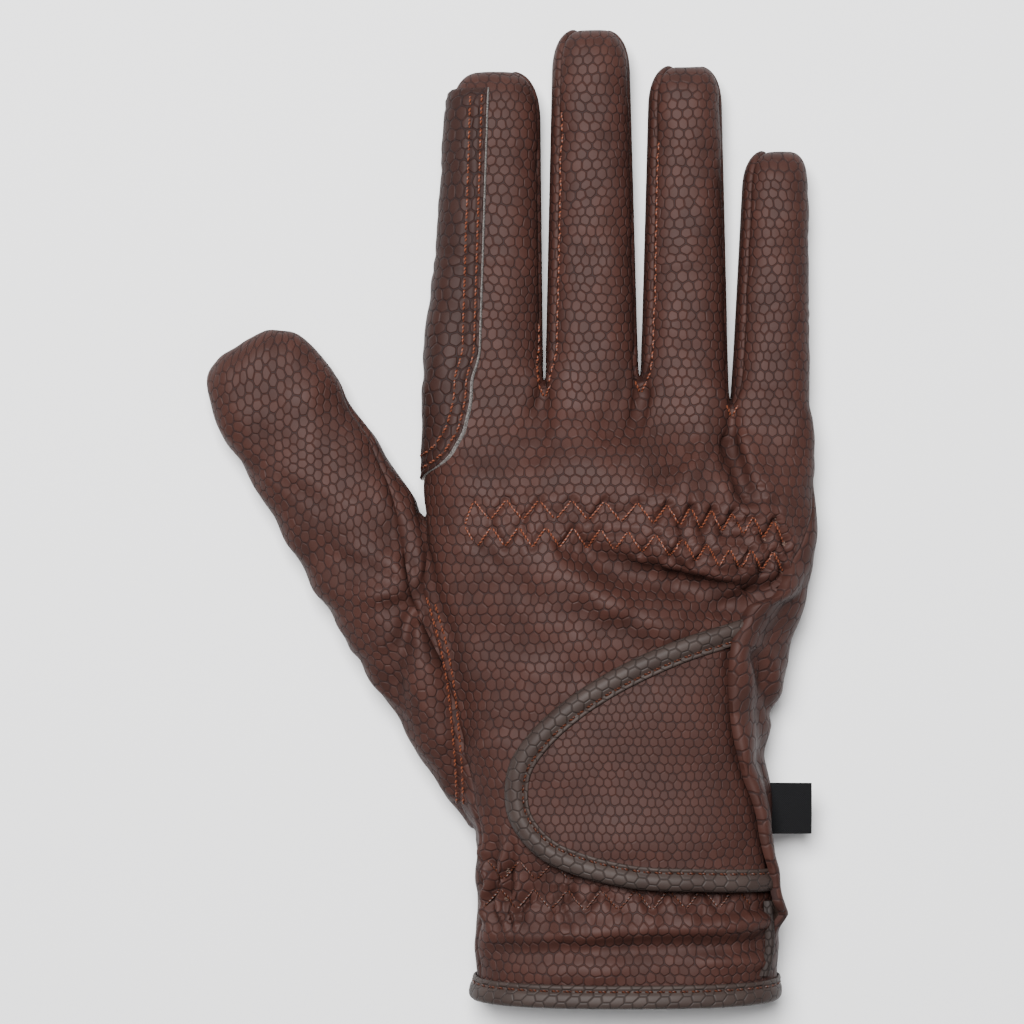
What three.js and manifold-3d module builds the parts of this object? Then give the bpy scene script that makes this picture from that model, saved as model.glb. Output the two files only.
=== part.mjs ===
// A right-hand horse riding glove of embossed leather, lying on its palm with the back of the hand up.
// Millimetres. +Y runs from the cuff to the fingertips, +X towards the little finger, and +Z up from
// the surface that the glove lies on. Every panel is a wall of leather with the hollow hand behind it.
import * as THREE from "three";
import { mergeVertices } from "three/addons/utils/BufferGeometryUtils.js";
import Module from "manifold-3d";

const wasm = await Module();
wasm.setup();

// Leather and seams
const WALL = 1.2; // thickness of the embossed leather
const SEAM_GAP = 0.3; // clearance between two panels that are sewn to each other
const BINDING_WALL = 0.9; // thickness of the grey-brown edge binding

// Hand, from the hem to the fork between the index and middle fingers
const HAND_LENGTH = 139;
const WRIST_WIDTH = 68.6;
const WRIST_HEIGHT = 29;
const PALM_HEIGHT = 26;
const HAND_POWER = 2.5; // roundness of a hand section: 2 is an ellipse, and more is boxier
const MIDDLE_SHARE = 0.42; // height of a section's widest line, as a share of its top
const FLATTENING = 1.25; // how far a section would reach below the floor if nothing held it up
const KNUCKLE_START = 0.84; // share of the hand's length where the finger lobes begin to show

// Fingers, from the thumb side. fork is how far the fork on the little finger's side of each lies
// past HAND_LENGTH, lean is how far the tip stands to the side of the root, taper is the tip's width share.
const FINGERS = [
  { name: "index", width: 26.3, length: 72, fork: 0, lean: 1.9, taper: 0.8 },
  { name: "middle", width: 21.8, length: 81, fork: 1, lean: -0.2, taper: 0.82 },
  { name: "ring", width: 20.6, length: 75, fork: -4.5, lean: 0.2, taper: 0.82 },
  { name: "little", width: 18.8, length: 60, fork: -8, lean: 1.5, taper: 0.82 },
];
const FINGER_HEIGHT = 17;
const FINGER_TAPER = 0.86; // height share that is left near a fingertip
const FINGER_POWER = 2.6;
const STRIP_END = 0.992; // share of a finger's length where the strips beside it end
const FORK_CLEARANCE = 6; // degrees by which the strips between the fingers stay clear of the skins at a fork
const FORK_POWER = 3.6; // fingers are pressed square against each other at the forks
const FINGER_SPACE = 1.2; // gap between two fingers
const TIP_ROUNDING = 1.1; // length of a rounded tip, in half widths
const TIP_BLUNT = 0.3; // share of the width that is left at the very end

// Thumb, a tube whose axis crosses the thumb side of the hand at THUMB_JOIN of the hand's length
const THUMB_WIDTH = 30.6;
const THUMB_HEIGHT = 20;
const THUMB_TIP_HEIGHT = 16;
const THUMB_LENGTH = 80; // from the side of the hand to the tip
const THUMB_ROOT = 42; // hidden length inside the hand, which is cut away
const THUMB_ROOT_LIFT = 3;
const THUMB_JOIN = 0.58;
const THUMB_ANGLE = 32; // degrees away from the fingers

// Closing tab: the outline's tip points to the thumb, and its root is caught in the side seam
const TAB_LENGTH = 58.8;
const TAB_HEIGHT = 61;
const TAB_ROOT_SHARE = 0.9417; // where the tab's root ends, as a share of half the wrist's width
const TAB_BOTTOM_Y = 25.3;
const TAB_THICKNESS = 1.3;
const TAB_LIFT = 2.4; // height of the tab's middle above the back of the hand
const TAB_TUCK = 3; // length of the unbound root, which lies under the palm's edge
const TAB_TUCK_LIFT = 1.45;
const TAB_BINDING_WIDTH = 4.7;
const TAB_BINDING_HEIGHT = 3.3;
const FASTENER = { along: 0.349, up: 0.372, length: 0.442, height: 0.426 }; // middle and size, as shares of the tab

// Hem and side vent
const HEM_BINDING_WIDTH = 5.2;
const HEM_LIFT = SEAM_GAP + BINDING_WALL; // the hem's binding lies between the leather and the floor
const VENT_LENGTH = 16.5;
const VENT_START = 6.4;
const VENT_BINDING_WIDTH = 2.4;
const VENT_BINDING_HEIGHT = 1.4;
const FLAP_RISE = 4.4; // how far the palm's edge stands over the root of the tab
const FLAP_OVER = 7; // degrees of the section by which it reaches over the back
const FLAP_SPREAD = 26; // degrees of the section over which that rise fades
const FLAP_FOOT = 0.85; // share of the rise that is left on the row below the tab's root
const FLAP_HEAD = 0.62; // and on the row above it

// Index finger patch and label
const PATCH_THICKNESS = 0.9;
const LABEL_WIDTH = 11.5;
const LABEL_REACH = 9;
const LABEL_THICKNESS = 0.9;
const LABEL_Y = 43;
const LABEL_Z = 13.5;

// Hand sections from hem to forks. at is the share of HAND_LENGTH, and palm mixes the wrist's size (0)
// with the knuckles' (1). left, right and top are shares of that half width and height. thumbSeam and
// outerSeam are the degrees by which the back's two edge seams stand above the widest line.
const SECTIONS = [
  { at: 0, palm: 0, left: 0.985, right: 1.028, top: 1, thumbSeam: 10, outerSeam: 32 },
  { at: 0.036, palm: 0, left: 0.955, right: 1.028, top: 0.97, thumbSeam: 12, outerSeam: 30 },
  { at: 0.086, palm: 0, left: 0.97, right: 1.042, top: 0.98, thumbSeam: 14, outerSeam: 26 },
  { at: 0.165, palm: 0, left: 0.949, right: 1.019, top: 0.95, thumbSeam: 18, outerSeam: 24 },
  { at: 0.245, palm: 0, left: 0.969, right: 0.99, top: 0.93, thumbSeam: 24, outerSeam: 28 },
  { at: 0.317, palm: 0.3, left: 1, right: 0.92, top: 0.93, thumbSeam: 28, outerSeam: 34 },
  { at: 0.424, palm: 0.6, left: 1.01, right: 0.84, top: 0.95, thumbSeam: 28, outerSeam: 42 },
  { at: 0.482, palm: 0.75, left: 1.01, right: 0.855, top: 0.96, thumbSeam: 26, outerSeam: 46 },
  { at: 0.576, palm: 0.9, left: 1.03, right: 0.905, top: 0.98, thumbSeam: 20, outerSeam: 50 },
  { at: 0.655, palm: 1, left: 1.045, right: 0.966, top: 1, thumbSeam: 10, outerSeam: 46 },
  { at: 0.741, palm: 1, left: 1.046, right: 1.011, top: 1, thumbSeam: 4, outerSeam: 30 },
  { at: 0.849, palm: 1, left: 1.023, right: 1.018, top: 0.96, thumbSeam: 0, outerSeam: 12 },
  { at: 0.935, palm: 1, left: 1.011, right: 1.009, top: 0.86, thumbSeam: 0, outerSeam: 4 },
  { at: 1, palm: 1, left: 1, right: 1, top: 0.74, thumbSeam: 0, outerSeam: 0 },
];

// Folds and hollows of the back, each along a straight line. at is a share of HAND_LENGTH, across a share
// of half the knuckle width, rise a share of PALM_HEIGHT (below 0 is a hollow), spread a share of HAND_LENGTH.
const FOLDS = [
  { at0: 0.735, across0: -0.25, at1: 0.63, across1: 0.57, rise: -0.1, spread: 0.028 },
  { at0: 0.77, across0: 0.15, at1: 0.66, across1: 0.61, rise: 0.05, spread: 0.022 },
  { at0: 0.69, across0: -0.35, at1: 0.6, across1: 0.22, rise: 0.05, spread: 0.032 },
  { at0: 0.85, across0: 0.22, at1: 0.93, across1: 0.35, rise: -0.045, spread: 0.026 },
  { at0: 0.82, across0: 0.62, at1: 0.96, across1: 0.55, rise: -0.06, spread: 0.02 },
  { at0: 0.19, across0: -0.6, at1: 0.19, across1: 0.7, rise: -0.045, spread: 0.03 },
  { at0: 0.125, across0: -0.3, at1: 0.15, across1: 0.65, rise: 0.03, spread: 0.018 },
  { at0: 0.78, across0: -0.75, at1: 0.76, across1: 0.85, rise: -0.035, spread: 0.035 },
];

// Edge of the closing tab from the top of its root round the tip to the bottom of its root.
// along is a share of TAB_LENGTH from the tip, up a share of TAB_HEIGHT from the bottom edge.
const TAB_EDGE = [
  { along: 0.949, up: 1.016 },
  { along: 0.89, up: 0.998 },
  { along: 0.638, up: 0.921 },
  { along: 0.398, up: 0.813 },
  { along: 0.23, up: 0.708 },
  { along: 0.109, up: 0.603 },
  { along: 0.024, up: 0.487 },
  { along: 0, up: 0.384 },
  { along: 0.012, up: 0.279 },
  { along: 0.06, up: 0.197 },
  { along: 0.145, up: 0.123 },
  { along: 0.277, up: 0.069 },
  { along: 0.493, up: 0.023 },
  { along: 0.735, up: 0.011 },
  { along: 1, up: 0 },
];

// Edge of the index patch on the back. at is a share of HAND_LENGTH up to 1, and past 1 it goes on with the
// share of the index finger's length. reach is the share of the index's back that the patch covers.
const PATCH_EDGE = [
  { at: 0.845, reach: 0.1 },
  { at: 0.867, reach: 0.4 },
  { at: 0.905, reach: 0.55 },
  { at: 0.95, reach: 0.59 },
  { at: 1, reach: 0.6 },
  { at: 1.15, reach: 0.515 },
];
const PATCH_UNDER = 0.16; // share of the index width that the patch covers on the palm side
const PATCH_TIP = 0.93; // share of the index finger's length where the patch ends

// Seam between the thumb's outer piece and its gusset. at is a share of the thumb's whole length,
// turn the degrees of the thumb's section from the side that faces the index finger.
const THUMB_SEAM = [
  { at: 0, turn: 88 },
  { at: 0.4, turn: 84 },
  { at: 0.455, turn: 78 },
  { at: 0.53, turn: 62 },
  { at: 0.62, turn: 40 },
  { at: 0.71, turn: 22 },
  { at: 0.83, turn: 5 },
  { at: 0.94, turn: -20 },
];
const THUMB_UNDER_SEAM = -20;
const THUMB_GUSSET_END = 0.92;

// Small maths
const DEGREE = Math.PI / 180;
const mix = (a, b, share) => a + (b - a) * share;
const clamp01 = (x) => Math.min(1, Math.max(0, x));
const smooth = (x) => clamp01(x) ** 2 * (3 - 2 * clamp01(x));
const power = (x, p) => Math.sign(x) * Math.abs(x) ** p;

// Smooth curve through one column of a table, read at any place along another column.
function column(rows, key, name) {
  const xs = rows.map((r) => r[key]);
  const ys = rows.map((r) => r[name]);
  const steps = xs.slice(1).map((x, i) => (ys[i + 1] - ys[i]) / (x - xs[i]));
  const slope = (i) => {
    if (i === 0 || i === xs.length - 1) return 0;
    return steps[i - 1] * steps[i] > 0 ? (steps[i - 1] + steps[i]) / 2 : 0;
  };
  return (x) => {
    if (x <= xs[0]) return ys[0];
    if (x >= xs.at(-1)) return ys.at(-1);
    const i = xs.findIndex((_, k) => x <= xs[k + 1]);
    const width = xs[i + 1] - xs[i];
    const s = (x - xs[i]) / width;
    const bend = s * (1 - s) * width;
    return mix(ys[i], ys[i + 1], smooth(s)) + bend * ((1 - s) * slope(i) - s * slope(i + 1));
  };
}

// Rows of the panels as shares of the hand's and of a finger's length
const HEM_ROW = HEM_BINDING_WIDTH / HAND_LENGTH;
const HAND_ROWS = [
  0, HEM_ROW, 0.09, 0.15, 0.21, 0.27, 0.33, 0.39, 0.45, 0.51, 0.57, 0.63, 0.68, 0.73, 0.78, 0.83, 0.88, 0.94, 1,
];
const FINGER_ROWS = [0, 0.05, 0.18, 0.36, 0.54, 0.72, 0.84, 0.91, 0.96, 1];

// Share of its rise with which the palm's edge stands over the back: all of it beside the tab's root, and
// part of it on the row beyond each end, so that the edge has risen before it reaches over the back.
const rowAbove = (y) => HAND_ROWS.findIndex((row) => row * HAND_LENGTH > y);
const flapStart = rowAbove(TAB_BOTTOM_Y);
const flapEnd = rowAbove(TAB_BOTTOM_Y + TAB_HEIGHT);
const flapAlong = column(
  [
    { row: HAND_ROWS[flapStart - 2], rise: 0 },
    { row: HAND_ROWS[flapStart - 1], rise: FLAP_FOOT },
    { row: HAND_ROWS[flapStart], rise: 1 },
    { row: HAND_ROWS[flapEnd], rise: 1 },
    { row: HAND_ROWS[flapEnd + 1], rise: FLAP_HEAD },
    { row: HAND_ROWS[flapEnd + 2], rise: 0 },
  ],
  "row",
  "rise",
);

// Sizes that follow from the driving dimensions
const KNUCKLE_WIDTH = FINGERS.reduce((sum, f) => sum + f.width, 0);
const FINGER_EDGES = FINGERS.reduce((edges, f) => [...edges, edges.at(-1) + f.width], [-KNUCKLE_WIDTH / 2]);
const ROOT_FORKS = [FINGERS[0].fork, ...FINGERS.map((f) => f.fork)];
const sectionOf = Object.fromEntries(
  ["palm", "left", "right", "top", "thumbSeam", "outerSeam"].map((n) => [n, column(SECTIONS, "at", n)]),
);
const thumbSeam = column(THUMB_SEAM, "at", "turn");
const patchReach = column(PATCH_EDGE, "at", "reach");
const tabTip = (TAB_ROOT_SHARE * WRIST_WIDTH) / 2 - TAB_LENGTH;

// A point of an oval section whose underside lies flat on its floor. inset goes into the leather.
function ovalPoint(oval, angle, inset) {
  const across = power(Math.cos(angle), 2 / oval.power) * Math.max(0, oval.half - inset);
  const up = power(Math.sin(angle), 2 / oval.power);
  const rise = Math.max(0, oval.top - oval.middle - inset);
  const drop = Math.max(0, (oval.middle - oval.floor) * FLATTENING - inset);
  const z = up >= 0 ? oval.middle + up * rise : Math.max(oval.floor + inset, oval.middle + up * drop);
  return { x: oval.x + across, z: oval.flat ? oval.middle : z };
}

// Height that the folds add to the back at a place.
function foldRise(x, y) {
  const half = KNUCKLE_WIDTH / 2;
  return FOLDS.reduce((sum, fold) => {
    const start = new THREE.Vector2(fold.across0 * half, fold.at0 * HAND_LENGTH);
    const end = new THREE.Vector2(fold.across1 * half, fold.at1 * HAND_LENGTH);
    const line = end.clone().sub(start);
    const place = new THREE.Vector2(x, y).sub(start);
    const share = clamp01(place.dot(line) / line.lengthSq());
    const away = place.sub(line.multiplyScalar(share)).length();
    return sum + fold.rise * PALM_HEIGHT * Math.exp(-((away / (fold.spread * HAND_LENGTH)) ** 2));
  }, 0);
}

// The hand's oval at a share of its length.
function handOval(v) {
  const palm = sectionOf.palm(v);
  const half = mix(WRIST_WIDTH, KNUCKLE_WIDTH, palm) / 2;
  const left = -sectionOf.left(v) * half;
  const right = sectionOf.right(v) * half;
  const top = sectionOf.top(v) * mix(WRIST_HEIGHT, PALM_HEIGHT, palm);
  const floor = HEM_LIFT * (1 - smooth(v * 10));
  return { x: (left + right) / 2, half: (right - left) / 2, top, floor, middle: top * MIDDLE_SHARE, power: HAND_POWER };
}

// Degrees of the four seams of a finger above (top) and below (bottom) its widest line.
function fingerSeams(i, t) {
  const spread = smooth(t / 0.15);
  const outer = { left: i === 0, right: i === FINGERS.length - 1 };
  return {
    topLeft: outer.left ? 0 : mix(30, 34, spread),
    topRight: outer.right ? 0 : mix(30, 12, spread),
    bottomLeft: outer.left ? 0 : 35,
    bottomRight: outer.right ? 0 : 35,
  };
}

// The oval of a finger at a share of its length, from its root to its tip.
function fingerOval(i, t) {
  const finger = FINGERS[i];
  const rounding = (TIP_ROUNDING * finger.width * finger.taper) / 2 / finger.length;
  const end = clamp01((t - 1 + rounding) / rounding);
  const round = (1 - end ** 2.4) ** (1 / 2.4);
  const space = FINGER_SPACE * 0.5 * smooth(t / 0.07);
  const body = (finger.width / 2) * mix(1, finger.taper, t) - space;
  const top = FINGER_HEIGHT * mix(1, FINGER_TAPER, t);
  const middle = top * 0.5;
  return {
    x: FINGER_EDGES[i] + finger.width / 2 + finger.lean * t,
    half: body * mix(TIP_BLUNT, 1, round),
    top: mix(middle, top, round),
    floor: mix(middle, 0, round),
    middle,
    power: mix(FORK_POWER, FINGER_POWER, smooth(t / 0.12)),
    flat: t >= 1,
    end,
  };
}

// How far the line of the finger roots lies past HAND_LENGTH, for a column u from 0 to 4.
function rootFork(u) {
  const i = Math.min(FINGERS.length - 1, Math.floor(u));
  return mix(ROOT_FORKS[i], ROOT_FORKS[i + 1], smooth(u - i));
}

// A point of one finger's skin. side is 1 on the back and -1 on the palm side, share runs from its
// left seam to its right one.
function fingerPoint(i, side, share, t, inset) {
  const seams = fingerSeams(i, t);
  const oval = fingerOval(i, t);
  const from = side > 0 ? 180 - seams.topLeft : 180 + seams.bottomLeft;
  const to = side > 0 ? seams.topRight : 360 - seams.bottomRight;
  return fingerSkin(i, oval, mix(from, to, share) * DEGREE, rootFork(i + share), t, inset);
}

function fingerSkin(i, oval, angle, fork, t, inset) {
  const finger = FINGERS[i];
  const point = ovalPoint(oval, angle, inset);
  const middleFork = rootFork(i + 0.5);
  const root = HAND_LENGTH + mix(fork, middleFork, smooth(t / 0.3));
  const y = root + finger.length * t - inset * oval.end;
  return new THREE.Vector3(point.x, y, point.z);
}

// The row where the fingers meet the hand, with neighbouring fingers sharing the point at each fork.
function rootPoint(side, u, inset) {
  const i = Math.min(FINGERS.length - 1, Math.floor(u));
  const point = fingerPoint(i, side, u - i, 0, inset);
  if (u !== i || i === 0) return point;
  return point.add(fingerPoint(i - 1, side, 1, 0, inset)).multiplyScalar(0.5);
}

// Angle of a column on a plain oval section, so that columns keep their place across the hand.
function columnAngle(side, u) {
  const left = rootPoint(side, 0, 0).x;
  const right = rootPoint(side, FINGERS.length, 0).x;
  const across = clamp01((rootPoint(side, u, 0).x - left) / (right - left)) * 2 - 1;
  const turn = Math.acos(power(across, HAND_POWER / 2)) / DEGREE;
  return side > 0 ? turn : 360 - turn;
}

// A point of the hand's skin between the hem (v 0) and the finger roots (v 1).
function handPoint(side, u, v, inset, flap = 0) {
  if (v >= 1) return rootPoint(side, u, inset);
  const low = sectionOf.thumbSeam(v);
  const high = sectionOf.outerSeam(v);
  const turn = columnAngle(side, u);
  const edge = 360 + high + FLAP_OVER * flap * smooth(10 * flapAlong(v) - 9);
  const angle = side > 0 ? mix(high, 180 - low, turn / 180) : mix(180 - low, edge, (turn - 180) / 180);
  const y = HAND_LENGTH * v + rootFork(u) * smooth((v - 0.6) / 0.4);
  const fade = flap * FLAP_RISE * smooth(1 - (edge - angle) / FLAP_SPREAD) * flapAlong(v);
  const plain = ovalPoint(handOval(v), angle * DEGREE, inset - fade);
  const root = rootPoint(side, u, inset);
  const lobes = smooth((v - KNUCKLE_START) / (1 - KNUCKLE_START));
  const point = new THREE.Vector3(mix(plain.x, root.x, lobes), y, mix(plain.z, root.z, lobes));
  const onTop = smooth(Math.sin(angle * DEGREE) * 1.6);
  point.z += foldRise(point.x, y) * onTop * (1 - lobes * lobes);
  return point;
}

// A sheet is a list of outer points, the inner points behind them, and the faces between.
function gridSheet(rows, columns, outer, inner) {
  const sheet = { outer: [], inner: [], faces: [] };
  for (const r of rows) {
    for (const c of columns) {
      sheet.outer.push(outer(r, c));
      sheet.inner.push(inner(r, c));
    }
  }
  const across = columns.length;
  for (let r = 0; r + 1 < rows.length; r++) {
    for (let c = 0; c + 1 < across; c++) {
      const a = r * across + c;
      sheet.faces.push([a, a + 1, a + across + 1], [a, a + across + 1, a + across]);
    }
  }
  return sheet;
}

// Joins sheets, welding points that coincide and dropping faces that have no area.
function weld(sheets) {
  const joined = { outer: [], inner: [], faces: [] };
  const seen = new Map();
  for (const sheet of sheets) {
    const index = sheet.outer.map((p, i) => {
      const key = [p.x, p.y, p.z].map((n) => Math.round(n * 1e3)).join(" ");
      if (!seen.has(key)) {
        seen.set(key, joined.outer.length);
        joined.outer.push(p.clone());
        joined.inner.push(sheet.inner[i].clone());
      }
      return seen.get(key);
    });
    for (const face of sheet.faces) {
      const [a, b, c] = face.map((k) => index[k]);
      if (a !== b && b !== c && a !== c) joined.faces.push([a, b, c]);
    }
  }
  return joined;
}

const flip = (sheet) => ({ ...sheet, faces: sheet.faces.map(([a, b, c]) => [a, c, b]) });

// Directed edges of a sheet that have no face on their other side.
function openEdges(sheet) {
  const edges = new Map();
  for (const [a, b, c] of sheet.faces) {
    for (const [s, e] of [[a, b], [b, c], [c, a]]) edges.set(s + " " + e, [s, e]);
  }
  return [...edges.values()].filter(([s, e]) => !edges.has(e + " " + s));
}

// Draws a sheet's open edges in, so that two panels sewn together keep a gap.
function drawIn(sheet, amount) {
  const rim = new Set(openEdges(sheet).flat());
  for (const points of [sheet.outer, sheet.inner]) {
    const pull = new Map([...rim].map((k) => [k, new THREE.Vector3()]));
    for (const face of sheet.faces) {
      const centre = new THREE.Vector3();
      face.forEach((k) => centre.addScaledVector(points[k], 1 / 3));
      face.filter((k) => rim.has(k)).forEach((k) => pull.get(k).add(centre.clone().sub(points[k]).normalize()));
    }
    for (const k of rim) points[k].add(pull.get(k).setLength(amount));
  }
  return sheet;
}

function geometryOf(points, faces) {
  const geometry = new THREE.BufferGeometry().setFromPoints(points);
  geometry.setIndex(faces.flat());
  return geometry;
}

// Closed wall of leather between a sheet's outer and inner points.
function wallOf(sheet) {
  const count = sheet.outer.length;
  const faces = sheet.faces.flatMap(([a, b, c]) => [[a, b, c], [a + count, c + count, b + count]]);
  for (const [s, e] of openEdges(sheet)) faces.push([e, s, s + count], [e, s + count, e + count]);
  return geometryOf([...sheet.outer, ...sheet.inner], faces);
}

// Closed solid swept through sections that have the same number of points, as a ring or with capped ends.
function swept(sections, ring) {
  const around = sections[0].length;
  const points = sections.flat();
  const faces = [];
  for (let r = 0; r < sections.length - (ring ? 0 : 1); r++) {
    const next = (r + 1) % sections.length;
    for (let c = 0; c < around; c++) {
      const a = r * around + c;
      const b = r * around + ((c + 1) % around);
      const d = next * around + c;
      const e = next * around + ((c + 1) % around);
      faces.push([a, b, e], [a, e, d]);
    }
  }
  if (!ring) {
    const flat = sections.map((s) => capPlane(s));
    const last = (sections.length - 1) * around;
    for (const [a, b, c] of THREE.ShapeUtils.triangulateShape(flat[0], [])) faces.push([c, b, a]);
    for (const [a, b, c] of THREE.ShapeUtils.triangulateShape(flat.at(-1), []))
      faces.push([a + last, b + last, c + last]);
  }
  return geometryOf(points, faces);
}

// A section's points in two axes of its own plane, for its end cap.
function capPlane(section) {
  const origin = section[0];
  const first = section[Math.floor(section.length / 3)].clone().sub(origin).normalize();
  const other = section[Math.floor((2 * section.length) / 3)].clone().sub(origin);
  const second = other.sub(first.clone().multiplyScalar(other.dot(first))).normalize();
  return section.map((p) => {
    const from = p.clone().sub(origin);
    return new THREE.Vector2(from.dot(first), from.dot(second));
  });
}

// Solids for cutting and joining
function solidOf(geometry) {
  const plain = geometry.clone();
  plain.deleteAttribute("normal");
  plain.deleteAttribute("uv");
  const merged = mergeVertices(plain, 1e-4);
  const solid = new wasm.Manifold(
    new wasm.Mesh({
      numProp: 3,
      vertProperties: new Float32Array(merged.attributes.position.array),
      triVerts: new Uint32Array(merged.index.array),
    }),
  );
  return solid.volume() > 0 ? solid : turned(merged);
}

// The same solid with its faces turned outwards.
function turned(merged) {
  const tri = new Uint32Array(merged.index.array);
  for (let i = 0; i < tri.length; i += 3) [tri[i + 1], tri[i + 2]] = [tri[i + 2], tri[i + 1]];
  return new wasm.Manifold(
    new wasm.Mesh({
      numProp: 3,
      vertProperties: new Float32Array(merged.attributes.position.array),
      triVerts: tri,
    }),
  );
}

// The largest body of a solid as a geometry: a cut can leave crumbs that aren't part of the piece.
function geometryFrom(solid) {
  const bodies = solid.decompose().sort((a, b) => b.volume() - a.volume());
  const mesh = bodies[0].getMesh();
  const points = [];
  for (let k = 0; k < mesh.numVert; k++)
    points.push(new THREE.Vector3().fromArray(mesh.vertProperties, k * mesh.numProp));
  const faces = [];
  for (let k = 0; k < mesh.triVerts.length; k += 3) faces.push([...mesh.triVerts.subarray(k, k + 3)]);
  return geometryOf(points, faces);
}

const shares = (steps, from = 0, to = 1) =>
  Array.from({ length: steps + 1 }, (_, k) => mix(from, to, k / steps));

// Columns of the panels
const BACK_COLUMNS = 5; // columns of the grid for each finger
const PALM_COLUMNS = 4;
const HEM_EDGE = BINDING_WALL + 2 * SEAM_GAP; // the leather ends this far above the bottom of the hem

// Back or palm skin of the hand and its fingers as one sheet.
function skinSheet(side, outset, inset, flap = 0, tipGap = 0) {
  const columnsAFinger = side > 0 ? BACK_COLUMNS : PALM_COLUMNS;
  const columns = shares(columnsAFinger * FINGERS.length, 0, FINGERS.length);
  const hand = gridSheet(
    HAND_ROWS,
    columns,
    (v, u) => handPoint(side, u, v, -outset, flap),
    (v, u) => handPoint(side, u, v, inset, flap),
  );
  const skin = (i, t, share, depth) =>
    t === 0 ? rootPoint(side, i + share, depth) : fingerPoint(i, side, share, t, depth);
  const part = (i, t, share, depth) => {
    const point = skin(i, t, share, depth);
    point.z += t === 1 ? side * tipGap : 0;
    return point;
  };
  const fingers = FINGERS.map((_, i) =>
    gridSheet(
      FINGER_ROWS,
      shares(columnsAFinger),
      (t, share) => part(i, t, share, -outset),
      (t, share) => part(i, t, share, inset),
    ),
  );
  const joined = weld([hand, ...fingers]);
  return side > 0 ? joined : flip(joined);
}

// The strip between finger i and the next: up one side, round the fork and up the other.
function fourchetteSheet(i, outset, inset, flush) {
  const along = [...FINGER_ROWS.slice(1, -1), flush ? 1 : STRIP_END];
  const rows = [...along.toReversed().map((t) => -t), 0, ...along];
  const skin = (t, share, depth) => {
    const finger = t <= 0 ? i : i + 1;
    const seams = fingerSeams(finger, Math.abs(t));
    const clear = FORK_CLEARANCE * (1 - smooth(Math.abs(t) / 0.1));
    const right = mix(seams.topRight - clear, clear - seams.bottomRight, share);
    const left = mix(180 - seams.topLeft + clear, 180 + seams.bottomLeft - clear, share);
    const oval = fingerOval(finger, Math.abs(t));
    const angle = (t <= 0 ? right : left) * DEGREE;
    return fingerSkin(finger, oval, angle, FINGERS[i].fork, Math.abs(t), depth);
  };
  const last = FINGER_ROWS.at(-2);
  const point = (t, share, depth) => {
    if (Math.abs(t) === STRIP_END)
      return skin(Math.sign(t) * last, share, depth).lerp(skin(Math.sign(t), share, depth), (STRIP_END - last) / (1 - last));
    if (t !== 0) return skin(t, share, depth);
    const web = skin(0, share, Math.min(depth, 0)).add(skin(1e-9, share, Math.min(depth, 0)));
    return web.multiplyScalar(0.5).setY(HAND_LENGTH + FINGERS[i].fork + (flush ? 0 : SEAM_GAP + WALL - depth));
  };
  return gridSheet(
    rows,
    shares(3),
    (t, share) => point(t, share, -outset),
    (t, share) => point(t, share, inset),
  );
}

// The whole hand as one closed body, grown by clearance, for cutting what is sewn to it.
function handBody(clearance) {
  const sides = [1, -1].map((side) => skinSheet(side, clearance, 0));
  const webs = FINGERS.slice(1).map((_, i) => flip(fourchetteSheet(i, clearance, 0, true)));
  const skin = weld([...sides, ...webs]);
  const rim = openEdges(skin);
  const centre = new THREE.Vector3();
  rim.forEach(([s]) => centre.add(skin.outer[s]));
  const points = [...skin.outer, centre.divideScalar(rim.length)];
  const cap = rim.map(([s, e]) => [e, s, points.length - 1]);
  return solidOf(geometryOf(points, [...skin.faces, ...cap]));
}

// Thumb
const thumbJoin = handOval(THUMB_JOIN);
const thumbAnchor = new THREE.Vector2(thumbJoin.x - thumbJoin.half, THUMB_JOIN * HAND_LENGTH);
const thumbAxis = new THREE.Vector2(-Math.sin(THUMB_ANGLE * DEGREE), Math.cos(THUMB_ANGLE * DEGREE));
const THUMB_WHOLE = THUMB_LENGTH + THUMB_ROOT;

function thumbPoint(turn, s, inset) {
  const rounding = (TIP_ROUNDING * THUMB_WIDTH) / 2 / THUMB_WHOLE;
  const end = clamp01((s - 1 + rounding) / rounding);
  const round = (1 - end ** 2.4) ** (1 / 2.4);
  const top = mix(THUMB_HEIGHT, THUMB_TIP_HEIGHT, smooth((s - 0.3) / 0.6));
  const middle = top * 0.5;
  const oval = {
    x: 0,
    half: (THUMB_WIDTH / 2) * mix(TIP_BLUNT, 1, round) * mix(1, 0.93, smooth((s - 0.45) / 0.4)),
    top: mix(middle, top, round),
    floor: mix(middle, THUMB_ROOT_LIFT * (1 - smooth((s - 0.35) / 0.25)), round),
    middle,
    power: 2.3,
    flat: s >= 1,
  };
  const point = ovalPoint(oval, turn * DEGREE, inset);
  const along = s * THUMB_WHOLE - THUMB_ROOT - inset * end;
  const x = thumbAnchor.x + thumbAxis.x * along + thumbAxis.y * point.x;
  const y = thumbAnchor.y + thumbAxis.y * along - thumbAxis.x * point.x;
  return new THREE.Vector3(x, y, point.z);
}

const THUMB_ROWS = [0, 0.1, 0.2, 0.3, 0.38, 0.46, 0.54, 0.62, 0.7, 0.78, 0.85, 0.9, 0.94, 0.975, 1];

// One piece of the thumb between two seams of its section.
function thumbSheet(rows, columns, from, to, outset, inset) {
  return weld([
    gridSheet(
      rows,
      shares(columns),
      (s, share) => thumbPoint(mix(to(s), from(s), share), s, -outset),
      (s, share) => thumbPoint(mix(to(s), from(s), share), s, inset),
    ),
  ]);
}

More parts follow.
